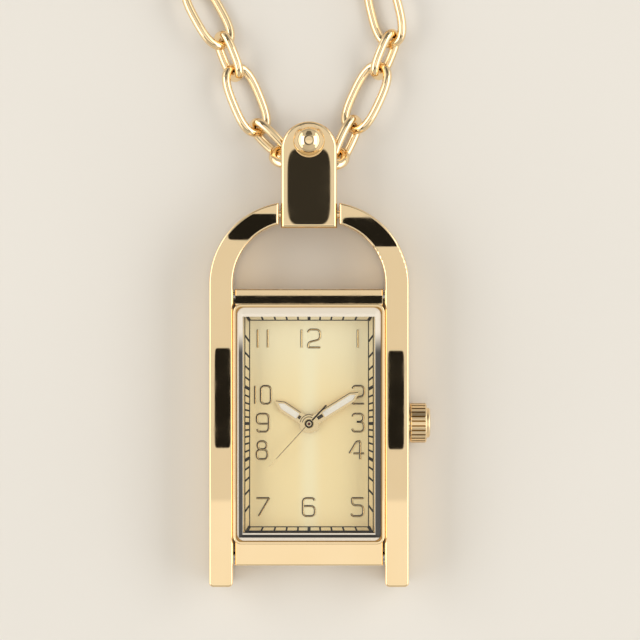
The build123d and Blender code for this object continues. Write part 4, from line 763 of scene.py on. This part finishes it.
# Each row holds the digit, the left end of its box and its foot, and its width, in mm.
digits_placed = [
    ("1", -5.16, 7.64, 0), ("1", -4.15, 7.64, 0), ("1", -0.76, 7.64, 0), ("2", -0.12, 7.64, 1.22),
    ("1", 4.88, 7.64, 0), ("1", -5.42, 1.98, 0), ("0", -4.84, 1.98, 1.00), ("2", 4.36, 1.98, 1.15),
    ("9", -5.25, -0.82, 1.20), ("3", 4.34, -0.82, 1.15), ("8", -5.26, -3.58, 1.08),
    ("4", 4.05, -3.58, 1.45), ("7", -5.28, -9.30, 1.28), ("6", -0.62, -9.30, 1.20), ("5", 4.26, -9.30, 1.18)]
top_row_foot = 7
numeral_paths = {row: [
    [(left + wide * (x - (0.5 if digit == "1" else 0)), foot + digit_high * y) for x, y in path]
    for digit, left, foot, wide in digits_placed if (foot > top_row_foot) == (row == "top")
    for path in digit_paths[digit]] for row in ("top", "lower")}
print("strokes of the numerals:", sum(map(len, numeral_paths.values())))

# %% The numerals
corner = {"Corner": 0.38 * mm}
# The dark edges under the gold strokes are painted shade.
strokes("numeral_edges", numeral_paths["top"] + numeral_paths["lower"], 0.022 * mm,
        {"Stroke": 0.19 * mm, "Thickness": 0.04 * mm, **corner}, numeral_shade_finish)
# The top row faces the light more, so less of its painted shade shows.
for row, gold_wide, aside in (("top", 0.11, 0.03), ("lower", 0.07, 0.05)):
    shifted = [[(x + aside, y - 0.6 * aside) for x, y in path] for path in numeral_paths[row]]
    strokes(f"numeral_strokes_{row}", shifted, 0.030 * mm,
            {"Stroke": gold_wide * mm, "Thickness": 0.05 * mm, **corner}, numeral_gold)

# %% [markdown]
# ## The hands' painted dark lines
# A pressed hand has a bevelled rim and an open slot between its hub and its lume. Both mirror the dark of the room,
# so each shows dark. They could be cut into the hand, but the rim's line is narrower than a pixel of the photograph
# and the slot only a few pixels long, so dark strokes of painted reflection lie on the hand and ride with it.

# %% Lines on the hour and minute hands
# The lines are painted reflection, a dark brown with a low sheen, like the shade in a polished groove.
hand_painted_reflection, *_ = new_finish("brown_line_ink", "#34281a", 0.3, drifts={
    "Base Color": {"size": 0.2 * mm, "ends": ("#2a2014", "#403222")}})
on_hand = 0.004 * mm
rim_start = 1.3
line_size = {"Thickness": 0.008 * mm, "Corner": 0.05 * mm}


def along_hand(angle, places):
    """Points given along and across a hand, turned to where the hand points."""
    c, s = math.cos(math.radians(angle)), math.sin(math.radians(angle))
    return [(x * c - y * s, x * s + y * c) for x, y in places]


# Each row: the hand, its body, where it points, then in mm the rim's side, its end, the tip, the slot and the hub.
for hand, body, angle, side, end, tip, slot, hub in (
        ("hour_hand", "hour", 146.5, -0.47, 3.20, 4.05, (1.02, 1.30), 0.90),
        ("minute_hand", "minute", 31.9, 0.45, 5.05, 5.85, (1.00, 1.62), 0.68)):
    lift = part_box(hand)[1].z - dial_top + on_hand
    rim = along_hand(angle, [(rim_start, side), (end, side), (tip, side * 0.12)])
    arc = [(hub * math.cos(math.radians(a)), hub * math.sin(math.radians(a))) for a in range(60, 171, 10)]
    # The rim line, the arc round the hub and the slot are painted reflection.
    strokes(hand + "_rim_line", [rim, arc], lift, {"Stroke": 0.07 * mm, **line_size}, hand_painted_reflection, body)
    strokes(hand + "_slot", [along_hand(angle, [(slot[0], 0), (slot[1], 0)])], lift,
            {"Stroke": 0.34 * mm, **line_size}, hand_painted_reflection, body)

# %% Painted reflection line on the seconds hand
seconds_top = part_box("seconds_hand")[1].z - dial_top
seconds_rim = along_hand(seconds_angle, [(0.45, -0.05), (4.8, -0.025)])
strokes("seconds_hand_rim_line", [seconds_rim], seconds_top + on_hand,
        {"Stroke": 0.05 * mm, **line_size}, hand_painted_reflection, "seconds")

# %% [markdown]
# ## The view transform
# The picture is shown with the standard view transform.

# %% Standard view transform
scene.view_settings.view_transform = "Standard"
